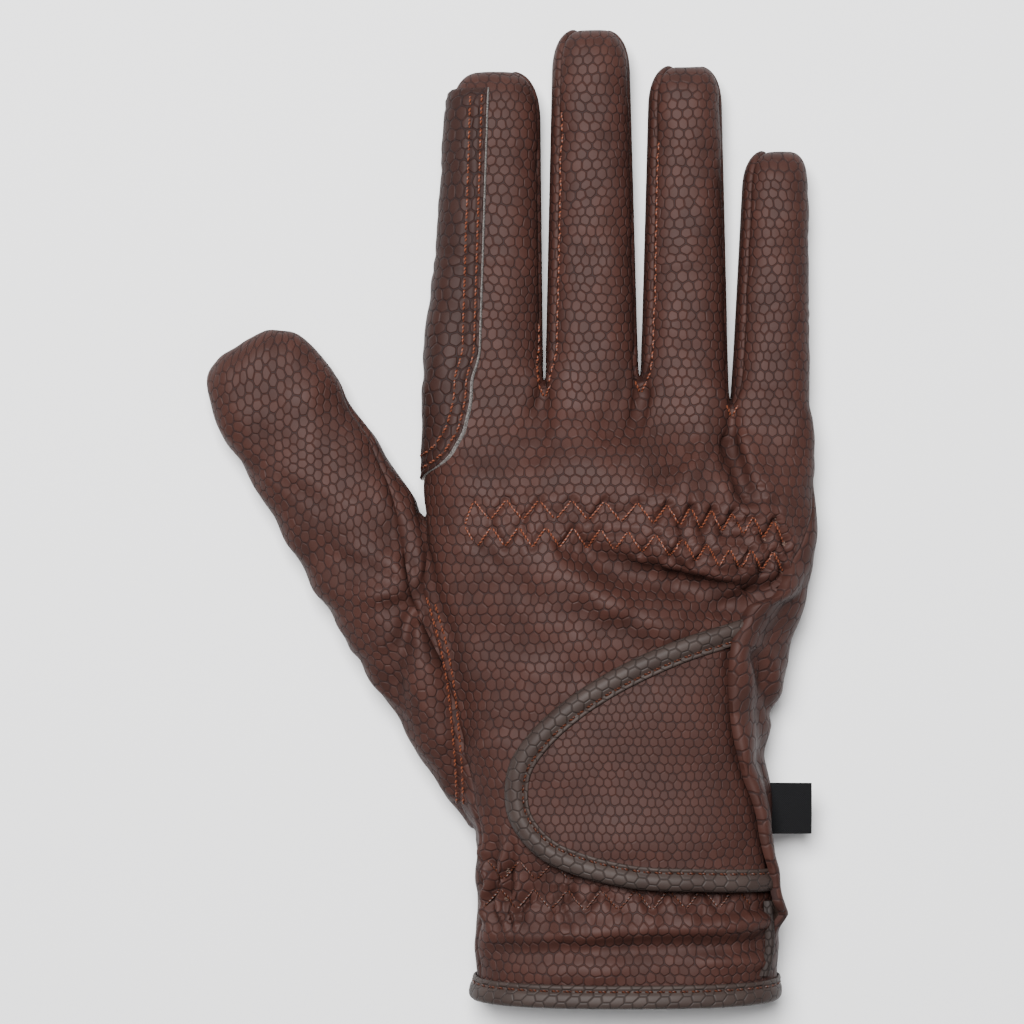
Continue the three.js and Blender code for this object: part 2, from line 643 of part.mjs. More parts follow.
function thumbBody(clearance) {
  const skin = thumbSheet(THUMB_ROWS, 28, () => 0, () => 360, clearance, 0);
  const rim = openEdges(skin);
  const centre = new THREE.Vector3();
  rim.forEach(([s]) => centre.add(skin.outer[s]));
  const points = [...skin.outer, centre.divideScalar(rim.length)];
  const cap = rim.map(([s, e]) => [e, s, points.length - 1]);
  return solidOf(geometryOf(points, [...skin.faces, ...cap]));
}

// Height over a place of the unfolded back of the hand, raised by lift.
function backHeight(x, y, lift) {
  const oval = handOval(y / HAND_LENGTH);
  const across = Math.min(0.995, Math.abs(x - oval.x) / (oval.half + lift));
  const dome = (1 - across ** HAND_POWER) ** (1 / HAND_POWER);
  return oval.middle + (oval.top - oval.middle + lift) * dome;
}

const overBack = (x, y, lift) => new THREE.Vector3(x, y, backHeight(x, y, lift));

// X of the palm's edge where it lies over the root of the tab.
const palmEdge = (y) => handPoint(-1, FINGERS.length, y / HAND_LENGTH, 0, 1).x;

// Height of the tab's middle over the back, lower where it goes under the palm's edge.
const tabLift = (x, y) =>
  mix(TAB_TUCK_LIFT, TAB_LIFT, smooth((palmEdge(y) - x + TAB_TUCK) / (2.5 * TAB_TUCK)));

// The tab's edge as a curve in plan, and the direction into the tab at each of its places.
const tabCurve = new THREE.CatmullRomCurve3(
  TAB_EDGE.map((p) => new THREE.Vector3(tabTip + p.along * TAB_LENGTH, TAB_BOTTOM_Y + p.up * TAB_HEIGHT, 0)),
);

function tabPlace(share, inward) {
  const point = tabCurve.getPointAt(share);
  const tangent = tabCurve.getTangentAt(share);
  return { x: point.x - tangent.y * inward, y: point.y + tangent.x * inward };
}

// Section of the tab's binding, folded round the tab's edge. into is the distance from the edge,
// up the height over the tab's middle.
function bindingSection() {
  const half = TAB_BINDING_HEIGHT / 2;
  const slot = (TAB_THICKNESS + 2 * SEAM_GAP) / 2;
  const end = TAB_BINDING_WIDTH;
  return [
    { into: end, up: slot },
    { into: end, up: half * 0.8 },
    { into: end * 0.4, up: half },
    { into: 0, up: half * 0.3 },
    { into: 0, up: -half * 0.3 },
    { into: end * 0.4, up: -half },
    { into: end, up: -half * 0.8 },
    { into: end, up: -slot },
    { into: BINDING_WALL, up: -slot },
    { into: BINDING_WALL, up: slot },
  ];
}

// Pieces
const handSolid = handBody(0);
const handCutter = handBody(SEAM_GAP);
const thumbCutter = thumbBody(SEAM_GAP);
const palmCutter = solidOf(
  wallOf(drawIn(skinSheet(-1, SEAM_GAP, WALL + SEAM_GAP, 1), -SEAM_GAP / 2)),
);
const cutBy = (geometry, ...cutters) =>
  geometryFrom(cutters.reduce((solid, cutter) => solid.subtract(cutter), solidOf(geometry)));

// Everything in front of the hem binding's foot is cut off the panels.
function hemCutter() {
  const box = new THREE.BoxGeometry(4 * WRIST_WIDTH, 2 * HEM_EDGE, 8 * WRIST_HEIGHT);
  return solidOf(box);
}
const hem = hemCutter();

function backPanel() {
  const sheet = drawIn(skinSheet(1, 0, WALL, 0, SEAM_GAP / 2), SEAM_GAP / 2);
  return cutBy(wallOf(sheet), hem, thumbCutter);
}

function palmPanel() {
  const sheet = drawIn(skinSheet(-1, 0, WALL, 1, SEAM_GAP / 2), SEAM_GAP / 2);
  return cutBy(wallOf(sheet), hem, thumbCutter);
}

function fourchette(i) {
  return wallOf(drawIn(weld([flip(fourchetteSheet(i, 0, WALL, false))]), SEAM_GAP));
}

function thumbOuter() {
  const under = (s) => THUMB_UNDER_SEAM + 360;
  const sheet = drawIn(thumbSheet(THUMB_ROWS, 18, thumbSeam, under, 0, WALL), SEAM_GAP / 2);
  return cutBy(wallOf(sheet), handSolid);
}

function thumbGusset() {
  const rows = [...THUMB_ROWS.filter((s) => s < THUMB_GUSSET_END), THUMB_GUSSET_END];
  const sheet = drawIn(thumbSheet(rows, 5, () => THUMB_UNDER_SEAM, thumbSeam, 0, WALL), SEAM_GAP);
  return cutBy(wallOf(sheet), handSolid);
}

function indexPatch() {
  const edge = PATCH_EDGE.map((p) => p.at).filter((at) => at <= 1);
  const rows = [...edge, ...FINGER_ROWS.filter((t) => t > 0 && t < PATCH_TIP).map((t) => 1 + t), 1 + PATCH_TIP];
  const skin = (row, share, depth) => {
    const side = share < 0 ? -1 : 1;
    const reach = side > 0 ? share * patchReach(row) : -share * PATCH_UNDER;
    return row <= 1 ? handPoint(side, reach, row, depth) : fingerPoint(0, side, reach, row - 1, depth);
  };
  const near = SEAM_GAP;
  const sheet = gridSheet(
    rows,
    [-1, -0.5, 0, 0.15, 0.35, 0.6, 0.8, 1],
    (row, share) => skin(row, share, -near - PATCH_THICKNESS),
    (row, share) => skin(row, share, -near),
  );
  return cutBy(wallOf(sheet), handCutter);
}

const TAB_STEPS = 46;

function tab() {
  const half = TAB_THICKNESS / 2;
  const edge = BINDING_WALL + SEAM_GAP;
  const place = (share, across) => {
    const upper = tabPlace(share / 2, edge);
    const lower = tabPlace(1 - share / 2, edge);
    return { x: mix(upper.x, lower.x, across), y: mix(upper.y, lower.y, across) };
  };
  const at = (share, across, lift) => {
    const p = place(share, across);
    const x = Math.min(p.x, palmEdge(p.y) + TAB_TUCK);
    return overBack(x, p.y, tabLift(x, p.y) + lift);
  };
  const sheet = gridSheet(
    shares(TAB_STEPS / 2),
    [0, 0.08, 0.25, 0.5, 0.75, 0.92, 1],
    (share, across) => at(share, across, half),
    (share, across) => at(share, across, -half),
  );
  return cutBy(wallOf(flip(weld([sheet]))), palmCutter);
}

// Everything beyond the palm's edge, where the tab's binding ends.
function beyondPalmEdge() {
  const tall = 4 * WRIST_HEIGHT;
  return solidOf(
    swept(
      shares(12, TAB_BOTTOM_Y - TAB_BINDING_WIDTH, TAB_BOTTOM_Y + TAB_HEIGHT + TAB_BINDING_WIDTH).map((y) => {
        const x = palmEdge(y) - SEAM_GAP;
        return [
          new THREE.Vector3(x, y, 0),
          new THREE.Vector3(x + WRIST_WIDTH, y, 0),
          new THREE.Vector3(x + WRIST_WIDTH, y, tall),
          new THREE.Vector3(x, y, tall),
        ];
      }),
      false,
    ),
  );
}

function tabBinding() {
  const section = bindingSection();
  const whole = swept(
    shares(TAB_STEPS).map((share) =>
      section.map((p) => {
        const place = tabPlace(share, p.into);
        return overBack(place.x, place.y, tabLift(place.x, place.y) + p.up);
      }),
    ),
    false,
  );
  return cutBy(whole, beyondPalmEdge(), palmCutter);
}

// The hook-and-loop pad that holds the tab's tip to the back.
function tabFastener() {
  const low = SEAM_GAP;
  const high = TAB_LIFT - TAB_THICKNESS / 2 - SEAM_GAP;
  const at = (b, a, lift) => {
    const across = a * Math.sqrt(1 - (b * b) / 2);
    const up = b * Math.sqrt(1 - (a * a) / 2);
    const x = tabTip + (FASTENER.along + (across * FASTENER.length) / 2) * TAB_LENGTH;
    const y = TAB_BOTTOM_Y + (FASTENER.up + (up * FASTENER.height) / 2) * TAB_HEIGHT;
    return overBack(x, y, lift);
  };
  return wallOf(
    gridSheet(
      shares(6, -1, 1),
      shares(6, -1, 1),
      (b, a) => at(b, a, high),
      (b, a) => at(b, a, low),
    ),
  );
}

// The hem's binding wraps the leather's edge all the way round the mouth.
function hemBinding() {
  const outer = -SEAM_GAP;
  const inner = WALL + SEAM_GAP;
  const section = [
    { depth: outer, y: HEM_BINDING_WIDTH },
    { depth: outer - BINDING_WALL, y: HEM_BINDING_WIDTH - 0.4 },
    { depth: outer - BINDING_WALL, y: BINDING_WALL },
    { depth: outer, y: 0 },
    { depth: inner, y: 0 },
    { depth: inner + BINDING_WALL, y: BINDING_WALL },
    { depth: inner + BINDING_WALL, y: HEM_BINDING_WIDTH - 0.4 },
    { depth: inner, y: HEM_BINDING_WIDTH },
    { depth: inner, y: BINDING_WALL },
    { depth: outer, y: BINDING_WALL },
  ];
  const turns = [...HEM_TURNS];
  return swept(
    turns.map((turn) => section.map((p) => hemPoint(turn, p.y, p.depth))),
    true,
  );
}

// The hem follows the same columns as the two skins, back first and then the palm.
const HEM_TURNS = [
  ...shares(BACK_COLUMNS * FINGERS.length, 0, FINGERS.length).map((u) => ({ side: 1, u })),
  ...shares(PALM_COLUMNS * FINGERS.length, FINGERS.length, 0)
    .slice(1, -1)
    .map((u) => ({ side: -1, u })),
];

function hemPoint(turn, y, depth) {
  const low = handPoint(turn.side, turn.u, 0, depth);
  const high = handPoint(turn.side, turn.u, HEM_ROW, depth);
  return low.lerp(high, y / HEM_BINDING_WIDTH);
}

// A narrow bound strip along the vent beside the outer seam.
function ventBinding() {
  const half = VENT_BINDING_WIDTH / 2;
  const section = [
    { across: -half, up: 0 },
    { across: -half * 0.8, up: VENT_BINDING_HEIGHT * 0.7 },
    { across: 0, up: VENT_BINDING_HEIGHT },
    { across: half * 0.8, up: VENT_BINDING_HEIGHT * 0.7 },
    { across: half, up: 0 },
  ];
  return swept(
    shares(14, VENT_START, VENT_START + VENT_LENGTH).map((y) => {
      const oval = handOval(y / HAND_LENGTH);
      const seam = sectionOf.outerSeam(y / HAND_LENGTH) * DEGREE;
      return section.map((p) => {
        const turn = seam + (half + SEAM_GAP - p.across) / (oval.half * 0.75);
        const point = ovalPoint(oval, turn, -SEAM_GAP - p.up);
        const rise = foldRise(point.x, y) * smooth(Math.sin(turn) * 1.6);
        return new THREE.Vector3(point.x, y, point.z + rise);
      });
    }),
    false,
  );
}

// A folded label that stands out of the outer side seam.
function label() {
  const oval = handOval(LABEL_Y / HAND_LENGTH);
  const box = new THREE.BoxGeometry(LABEL_REACH * 2, LABEL_WIDTH, LABEL_THICKNESS);
  box.translate(oval.x + oval.half, LABEL_Y, LABEL_Z);
  return cutBy(box, palmCutter);
}

// Materials
const LEATHER = { color: 0x4a2a25, roughness: 0.55, metalness: 0 };
const PATCH = { color: 0x40231f, roughness: 0.6, metalness: 0 };
const BINDING = { color: 0x3f3431, roughness: 0.5, metalness: 0 };
const BLACK = { color: 0x17171a, roughness: 0.85, metalness: 0 };

const glove = new THREE.Group();

function add(name, geometry, finish) {
  const mesh = new THREE.Mesh(geometry, new THREE.MeshStandardMaterial(finish));
  mesh.name = name;
  glove.add(mesh);
}

add("back_panel", backPanel(), LEATHER);
add("palm_panel", palmPanel(), LEATHER);
FINGERS.slice(1).forEach((next, i) => add(`fourchette_${FINGERS[i].name}_${next.name}`, fourchette(i), LEATHER));
add("thumb_outer", thumbOuter(), LEATHER);
add("thumb_gusset", thumbGusset(), LEATHER);
add("index_patch", indexPatch(), PATCH);
add("closing_tab", tab(), LEATHER);
add("tab_binding", tabBinding(), BINDING);
add("tab_fastener", tabFastener(), BLACK);
add("hem_binding", hemBinding(), BINDING);
add("vent_binding", ventBinding(), BINDING);
add("side_label", label(), BLACK);

// The frame's origin is the middle of the bottom of the whole glove's box.
const box = new THREE.Box3().setFromObject(glove);
glove.position.set(-(box.min.x + box.max.x) / 2, -(box.min.y + box.max.y) / 2, -box.min.z);

export default glove;
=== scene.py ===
"""A right-hand horse riding glove of embossed leather, lying on its palm."""

import math
from functools import cache

import bmesh
import bpy
import numpy as np
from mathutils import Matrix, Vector
from mathutils.bvhtree import BVHTree
from mathutils.kdtree import KDTree


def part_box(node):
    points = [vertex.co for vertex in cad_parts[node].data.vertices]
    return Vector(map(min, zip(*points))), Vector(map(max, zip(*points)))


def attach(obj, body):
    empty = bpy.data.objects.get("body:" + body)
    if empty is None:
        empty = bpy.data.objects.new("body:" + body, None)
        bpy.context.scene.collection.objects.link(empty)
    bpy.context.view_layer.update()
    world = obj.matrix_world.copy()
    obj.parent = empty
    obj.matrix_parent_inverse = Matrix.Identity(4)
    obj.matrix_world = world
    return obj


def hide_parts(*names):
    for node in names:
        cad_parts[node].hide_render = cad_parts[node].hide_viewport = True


bl_info = {
    "name": "Horse riding glove",
    "version": (1, 0, 0),
    "blender": (4, 5, 0),
    "location": "3D View > Sidebar > Glove",
    "description": "Builds the leather, seams, bindings and thread of a riding glove",
    "category": "Object",
}

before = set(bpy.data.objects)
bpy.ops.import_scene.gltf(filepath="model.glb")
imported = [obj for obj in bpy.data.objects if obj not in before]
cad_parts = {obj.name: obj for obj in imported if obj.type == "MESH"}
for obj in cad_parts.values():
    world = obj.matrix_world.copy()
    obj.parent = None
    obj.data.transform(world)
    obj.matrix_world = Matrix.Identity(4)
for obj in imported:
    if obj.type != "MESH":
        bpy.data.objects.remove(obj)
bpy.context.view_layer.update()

# The pattern is in millimetres until a mesh is made. Settings, the label and the stage are in metres.
METRE = 0.001

# The cut of the glove, as in the part's source
WALL = 1.2
SEAM_GAP = 0.3
BINDING_WALL = 0.9
HAND_LENGTH = 139.0
WRIST_WIDTH = 68.6
WRIST_HEIGHT = 29.0
PALM_HEIGHT = 26.0
HAND_POWER = 2.5
MIDDLE_SHARE = 0.42
FLATTENING = 1.25
KNUCKLE_START = 0.84
FINGER_WIDTH = np.array([26.3, 21.8, 20.6, 18.8])
FINGER_LENGTH = np.array([72.0, 81.0, 75.0, 60.0])
FINGER_FORK = np.array([0.0, 1.0, -4.5, -8.0])
FINGER_LEAN = np.array([1.9, -0.2, 0.2, 1.5])
FINGER_NARROWING = np.array([0.8, 0.82, 0.82, 0.82])
FINGER_COUNT = 4
FINGER_HEIGHT = 17.0
FINGER_TAPER = 0.86
FINGER_POWER = 2.6
FORK_POWER = 3.6
FINGER_SPACE = 1.2
TIP_ROUNDING = 1.1
TIP_BLUNT = 0.3
THUMB_WIDTH = 30.6
THUMB_HEIGHT = 20.0
THUMB_TIP_HEIGHT = 16.0
THUMB_LENGTH = 80.0
THUMB_ROOT = 42.0
THUMB_ROOT_LIFT = 3.0
THUMB_JOIN = 0.58
THUMB_ANGLE = math.radians(32)
THUMB_POWER = 2.3
THUMB_UNDER_SEAM = -20.0
TAB_LENGTH = 58.8
TAB_HEIGHT = 61.0
TAB_TIP_X = -26.5
TAB_BOTTOM_Y = 25.3
TAB_THICKNESS = 1.3
TAB_LIFT = 2.4
TAB_TUCK = 3.0
TAB_TUCK_LIFT = 1.45
HEM_BINDING_WIDTH = 5.2
HEM_LIFT = SEAM_GAP + BINDING_WALL
HEM_EDGE = BINDING_WALL + 2 * SEAM_GAP
VENT_START = 6.4
VENT_LENGTH = 16.5
FLAP_RISE = 5.2
FLAP_OVER = 9.5
FLAP_SPREAD = 26.0
BACK_UNDER = 12.0  # degrees that the back runs on under the palm's edge beside the tab
PATCH_THICKNESS = 0.9
PATCH_UNDER = 0.16
PATCH_TIP = 0.93
THUMB_GUSSET_END = 0.92
STRIP_END = 0.9995
FORK_CLEARANCE = 6.0
VENT_WIDTH = 2.4
VENT_HEIGHT = 1.4

# Hand sections: share of the length, mix of wrist and knuckle size, left, right and top shares,
# and the degrees of the thumb-side and outer seams above the widest line
SECTIONS = np.array([
    (0, 0, 0.985, 1.028, 1, 10, 32),
    (0.036, 0, 0.955, 1.028, 0.97, 12, 30),
    (0.086, 0, 0.97, 1.042, 0.98, 14, 26),
    (0.165, 0, 0.949, 1.019, 0.95, 18, 24),
    (0.245, 0, 0.969, 0.99, 0.93, 24, 28),
    (0.317, 0.3, 1, 0.92, 0.93, 28, 34),
    (0.424, 0.6, 1.01, 0.84, 0.95, 28, 42),
    (0.482, 0.75, 1.01, 0.855, 0.96, 26, 46),
    (0.576, 0.9, 1.03, 0.905, 0.98, 20, 50),
    (0.655, 1, 1.045, 0.966, 1, 10, 46),
    (0.741, 1, 1.046, 1.011, 1, 4, 30),
    (0.849, 1, 1.023, 1.018, 0.96, 0, 12),
    (0.935, 1, 1.011, 1.009, 0.86, 0, 4),
    (1, 1, 1, 1, 0.74, 0, 0),
])
# Broad folds of the back: start and end as shares of the length and of half the knuckle width,
# rise as a share of the palm's height, spread as a share of the length
FOLDS = [
    (0.735, -0.25, 0.63, 0.57, -0.1, 0.028),
    (0.77, 0.15, 0.66, 0.61, 0.05, 0.022),
    (0.69, -0.35, 0.6, 0.22, 0.05, 0.032),
    (0.85, 0.22, 0.93, 0.35, -0.045, 0.026),
    (0.82, 0.62, 0.96, 0.55, -0.06, 0.02),
    (0.19, -0.6, 0.19, 0.7, -0.045, 0.03),
    (0.125, -0.3, 0.15, 0.65, 0.03, 0.018),
    (0.78, -0.75, 0.76, 0.85, -0.035, 0.035),
]
# Edge of the tab, as shares of its length and height, from the root's top round the tip to the root's bottom
TAB_EDGE = np.array([
    (0.949, 1.016), (0.89, 0.998), (0.638, 0.921), (0.398, 0.813), (0.23, 0.708),
    (0.109, 0.603), (0.024, 0.487), (0, 0.384), (0.012, 0.279), (0.06, 0.197),
    (0.145, 0.123), (0.277, 0.069), (0.493, 0.023), (0.735, 0.011), (1, 0),
])
# Share of the hand's length, with those of the finger past 1, and how far round the finger the patch reaches
PATCH_EDGE = np.array([
    (0.845, 0.1), (0.867, 0.4), (0.905, 0.53), (0.95, 0.565), (1, 0.575), (1.15, 0.515),
])
# Share of the thumb's length, and the degrees at which its two pieces meet
THUMB_SEAM = np.array([
    (0, 88), (0.4, 84), (0.455, 78), (0.53, 62), (0.62, 40), (0.71, 22), (0.83, 5), (0.94, -20),
])
# Share of the hand's length, and how far the palm's edge is turned over the back beside the tab
FLAP_ALONG = np.array([(0.09, 0), (0.15, 0.85), (0.21, 1), (0.63, 1), (0.68, 0.62), (0.73, 0)])


def mix(a, b, share):
    return a + (b - a) * share


def smooth(x):
    x = np.clip(x, 0, 1)
    return x * x * (3 - 2 * x)


def signed_power(x, p):
    return np.sign(x) * np.abs(x) ** p


def column(table, k):
    """A smooth curve through column k of a table, read along its first column."""
    xs, ys = table[:, 0], table[:, k]
    steps = np.diff(ys) / np.diff(xs)
    slopes = np.zeros(len(xs))
    same = steps[:-1] * steps[1:] > 0
    slopes[1:-1] = np.where(same, (steps[:-1] + steps[1:]) / 2, 0)

    def read(x):
        x = np.asarray(x, float)
        i = np.clip(np.searchsorted(xs, x) - 1, 0, len(xs) - 2)
        width = xs[i + 1] - xs[i]
        s = np.clip((x - xs[i]) / width, 0, 1)
        bend = s * (1 - s) * width
        return mix(ys[i], ys[i + 1], smooth(s)) + bend * ((1 - s) * slopes[i] - s * slopes[i + 1])

    return read


PALM, LEFT, RIGHT, TOP, THUMB_SIDE, OUTER_SIDE = (column(SECTIONS, k) for k in range(1, 7))
thumb_seam = column(THUMB_SEAM, 1)
patch_reach = column(PATCH_EDGE, 1)
flap_along = column(FLAP_ALONG, 1)
KNUCKLE_WIDTH = FINGER_WIDTH.sum()
FINGER_EDGES = np.concatenate([[0], np.cumsum(FINGER_WIDTH)]) - KNUCKLE_WIDTH / 2
ROOT_FORKS = np.concatenate([[FINGER_FORK[0]], FINGER_FORK])


class Oval:
    """A section with a flat underside."""

    def __init__(self, x, half, top, floor, middle, power, flat=False, end=0.0):
        self.x, self.half, self.top, self.floor = x, half, top, floor
        self.middle, self.power, self.flat, self.end = middle, power, flat, end

    def point(self, angle, inset):
        across = signed_power(np.cos(angle), 2 / self.power) * np.maximum(0, self.half - inset)
        up = signed_power(np.sin(angle), 2 / self.power)
        rise = np.maximum(0, self.top - self.middle - inset)
        drop = np.maximum(0, (self.middle - self.floor) * FLATTENING - inset)
        ground = self.floor + inset
        under = self.middle + up * drop
        soft = 1.2
        share = np.clip(0.5 + 0.5 * (ground - under) / soft, 0, 1)
        low = mix(under, ground, share) + soft * share * (1 - share)
        z = np.where(up >= 0, self.middle + up * rise, np.minimum(low, self.middle))
        return self.x + across, np.where(self.flat, self.middle, z)


def fold_rise(x, y):
    half = KNUCKLE_WIDTH / 2
    total = np.zeros(np.shape(x))
    for at0, across0, at1, across1, rise, spread in FOLDS:
        start, stop = (across0 * half, at0 * HAND_LENGTH), (across1 * half, at1 * HAND_LENGTH)
        away = to_segment(x, y, start, stop)[0]
        total = total + rise * PALM_HEIGHT * np.exp(-((away / (spread * HAND_LENGTH)) ** 2))
    return total


def to_segment(x, y, start, end):
    """Distance of places from a straight line, and how far along it their nearest points are."""
    dx, dy = end[0] - start[0], end[1] - start[1]
    share = np.clip(((x - start[0]) * dx + (y - start[1]) * dy) / (dx * dx + dy * dy), 0, 1)
    return np.hypot(x - start[0] - share * dx, y - start[1] - share * dy), share


def hand_oval(v):
    palm = PALM(v)
    half = mix(WRIST_WIDTH, KNUCKLE_WIDTH, palm) / 2
    left, right = -LEFT(v) * half, RIGHT(v) * half
    top = TOP(v) * mix(WRIST_HEIGHT, PALM_HEIGHT, palm)
    floor = HEM_LIFT * (1 - smooth(v * 10))
    return Oval((left + right) / 2, (right - left) / 2, top, floor, top * MIDDLE_SHARE, HAND_POWER)


def finger_seams(i, t):
    spread = smooth(t / 0.15)
    first, last = i == 0, i == FINGER_COUNT - 1
    top_left = np.where(first, 0, mix(30, 34, spread))
    top_right = np.where(last, 0, mix(30, 12, spread))
    return top_left, top_right, np.where(first, 0, 35.0), np.where(last, 0, 35.0)


def finger_oval(i, t):
    width, length, narrowing = FINGER_WIDTH[i], FINGER_LENGTH[i], FINGER_NARROWING[i]
    rounding = TIP_ROUNDING * width * narrowing / 2 / length
    end = np.clip((t - 1 + rounding) / rounding, 0, 1)
    roundness = np.maximum(0, 1 - end**2.4) ** (1 / 2.4)
    space = FINGER_SPACE * 0.5 * smooth(t / 0.07)
    body = width / 2 * mix(1, narrowing, t) - space
    top = FINGER_HEIGHT * mix(1, FINGER_TAPER, t)
    middle = top * 0.5
    x = FINGER_EDGES[i] + width / 2 + FINGER_LEAN[i] * t
    power = mix(FORK_POWER, FINGER_POWER, smooth(t / 0.12))
    return Oval(x, body * mix(TIP_BLUNT, 1, roundness), mix(middle, top, roundness),
                mix(middle, 0, roundness), middle, power, t >= 1, end)


def root_fork(u):
    i = np.clip(np.floor(u + 1e-9).astype(int), 0, FINGER_COUNT - 1)
    return mix(ROOT_FORKS[i], ROOT_FORKS[i + 1], smooth(u - i))


def finger_skin(i, oval, angle, fork, t, inset):
    x, z = oval.point(angle, inset)
    root = HAND_LENGTH + mix(fork, root_fork(i + 0.5), smooth(t / 0.3))
    y = root + FINGER_LENGTH[i] * t - inset * oval.end
    return np.stack(np.broadcast_arrays(x, y, z), -1)


def finger_point(i, side, share, t, inset):
    i, share, t = (np.asarray(a) for a in (i, share, t))
    top_left, top_right, low_left, low_right = finger_seams(i, t)
    start = 180 - top_left if side > 0 else 180 + low_left
    stop = top_right if side > 0 else 360 - low_right
    angle = np.radians(mix(start, stop, share))
    return finger_skin(i, finger_oval(i, t), angle, root_fork(i + share), t, inset)


def root_point(side, u, inset):
    u = np.asarray(u, float)
    i = np.clip(np.floor(u + 1e-9).astype(int), 0, FINGER_COUNT - 1)
    point = finger_point(i, side, u - i, 0.0, inset)
    before = finger_point(np.maximum(i - 1, 0), side, 1.0, 0.0, inset)
    at_fork = ((np.abs(u - i) < 1e-9) & (i > 0))[..., None]
    return np.where(at_fork, (point + before) / 2, point)


def column_turn(side, u):
    left, right = root_point(side, 0.0, 0)[0], root_point(side, float(FINGER_COUNT), 0)[0]
    across = np.clip((root_point(side, u, 0)[..., 0] - left) / (right - left), 0, 1) * 2 - 1
    turn = np.degrees(np.arccos(signed_power(across, HAND_POWER / 2)))
    return turn if side > 0 else 360 - turn


def hand_point(side, u, v, inset, flap=0.0):
    """The hand's skin between the hem (v 0) and the finger roots (v 1)."""
    u, v = np.broadcast_arrays(np.asarray(u, float), np.asarray(v, float))
    low, high = THUMB_SIDE(v), OUTER_SIDE(v)
    turn = column_turn(side, u)
    edge = 360 + high + FLAP_OVER * flap * smooth(4 * flap_along(v) - 3)
    under = BACK_UNDER * flap * smooth(3 * flap_along(v))
    if side > 0:
        angle = mix(high - under, 180 - low, turn / 180)
    else:
        angle = mix(180 - low, edge, (turn - 180) / 180)
    y = HAND_LENGTH * v + root_fork(u) * smooth((v - 0.6) / 0.4)
    fade = flap * FLAP_RISE * smooth(1 - (edge - angle) / FLAP_SPREAD) * flap_along(v) * (side < 0)
    x, z = hand_oval(v).point(np.radians(angle), inset - fade)
    root = root_point(side, u, inset)
    lobes = smooth((v - KNUCKLE_START) / (1 - KNUCKLE_START))
    x, z = mix(x, root[..., 0], lobes), mix(z, root[..., 2], lobes)
    on_top = smooth(np.sin(np.radians(angle)) * 1.6)
    z = z + fold_rise(x, y) * on_top * (1 - lobes * lobes)
    return np.stack([x, y, z], -1)


THUMB_WHOLE = THUMB_LENGTH + THUMB_ROOT
thumb_join = hand_oval(THUMB_JOIN)
THUMB_ANCHOR = np.array([thumb_join.x - thumb_join.half, THUMB_JOIN * HAND_LENGTH])
THUMB_AXIS = np.array([-math.sin(THUMB_ANGLE), math.cos(THUMB_ANGLE)])


def thumb_oval(s):
    rounding = TIP_ROUNDING * THUMB_WIDTH / 2 / THUMB_WHOLE
    end = np.clip((s - 1 + rounding) / rounding, 0, 1)
    roundness = np.maximum(0, 1 - end**2.4) ** (1 / 2.4)
    top = mix(THUMB_HEIGHT, THUMB_TIP_HEIGHT, smooth((s - 0.3) / 0.6))
    middle = top * 0.5
    half = THUMB_WIDTH / 2 * mix(TIP_BLUNT, 1, roundness) * mix(1, 0.93, smooth((s - 0.45) / 0.4))
    floor = mix(middle, THUMB_ROOT_LIFT * (1 - smooth((s - 0.35) / 0.25)), roundness)
    return Oval(0.0, half, mix(middle, top, roundness), floor, middle, THUMB_POWER, s >= 1, end)


def thumb_point(turn, s, inset):
    oval = thumb_oval(s)
    across, z = oval.point(np.radians(turn), inset)
    along = s * THUMB_WHOLE - THUMB_ROOT - inset * oval.end
    x = THUMB_ANCHOR[0] + THUMB_AXIS[0] * along + THUMB_AXIS[1] * across
    y = THUMB_ANCHOR[1] + THUMB_AXIS[1] * along - THUMB_AXIS[0] * across
    return np.stack(np.broadcast_arrays(x, y, z), -1)


def depth_in(oval, across, z):
    """Rough distance of places outside a section, below zero inside it."""
    reach = np.where(z >= oval.middle, oval.top - oval.middle, (oval.middle - oval.floor) * FLATTENING)
    a, b = np.abs(across) / np.maximum(oval.half, 0.1), np.abs(z - oval.middle) / np.maximum(reach, 0.1)
    r = (a**oval.power + b**oval.power) ** (1 / oval.power) + 1e-6
    slope = np.hypot((a / r) ** (oval.power - 1) / np.maximum(oval.half, 0.1),
                     (b / r) ** (oval.power - 1) / np.maximum(reach, 0.1))
    return np.maximum((r - 1) / np.maximum(slope, 1e-3), oval.floor - z)


def outside_hand(p):
    oval = hand_oval(np.clip(p[:, 1] / HAND_LENGTH, 0, 1))
    past = np.maximum(-p[:, 1], p[:, 1] - HAND_LENGTH)
    return np.maximum(depth_in(oval, p[:, 0] - oval.x, p[:, 2]), past)


def outside_thumb(p):
    from_anchor = p[:, :2] - THUMB_ANCHOR
    along = from_anchor @ THUMB_AXIS
    across = from_anchor @ np.array([THUMB_AXIS[1], -THUMB_AXIS[0]])
    s = (along + THUMB_ROOT) / THUMB_WHOLE
    past = np.maximum(-s, s - 1) * THUMB_WHOLE
    return np.maximum(depth_in(thumb_oval(np.clip(s, 0, 1)), across, p[:, 2]), past)


def back_height(x, y, lift):
    oval = hand_oval(y / HAND_LENGTH)
    across = np.minimum(0.995, np.abs(x - oval.x) / (oval.half + lift))
    dome = (1 - across**HAND_POWER) ** (1 / HAND_POWER)
    return oval.middle + (oval.top - oval.middle + lift) * dome


def palm_edge(y):
    return hand_point(-1, float(FINGER_COUNT), y / HAND_LENGTH, 0, 1.0)[..., 0]


def tab_lift(x, y):
    return mix(TAB_TUCK_LIFT, TAB_LIFT, smooth((palm_edge(y) - x + TAB_TUCK) / (2.5 * TAB_TUCK)))


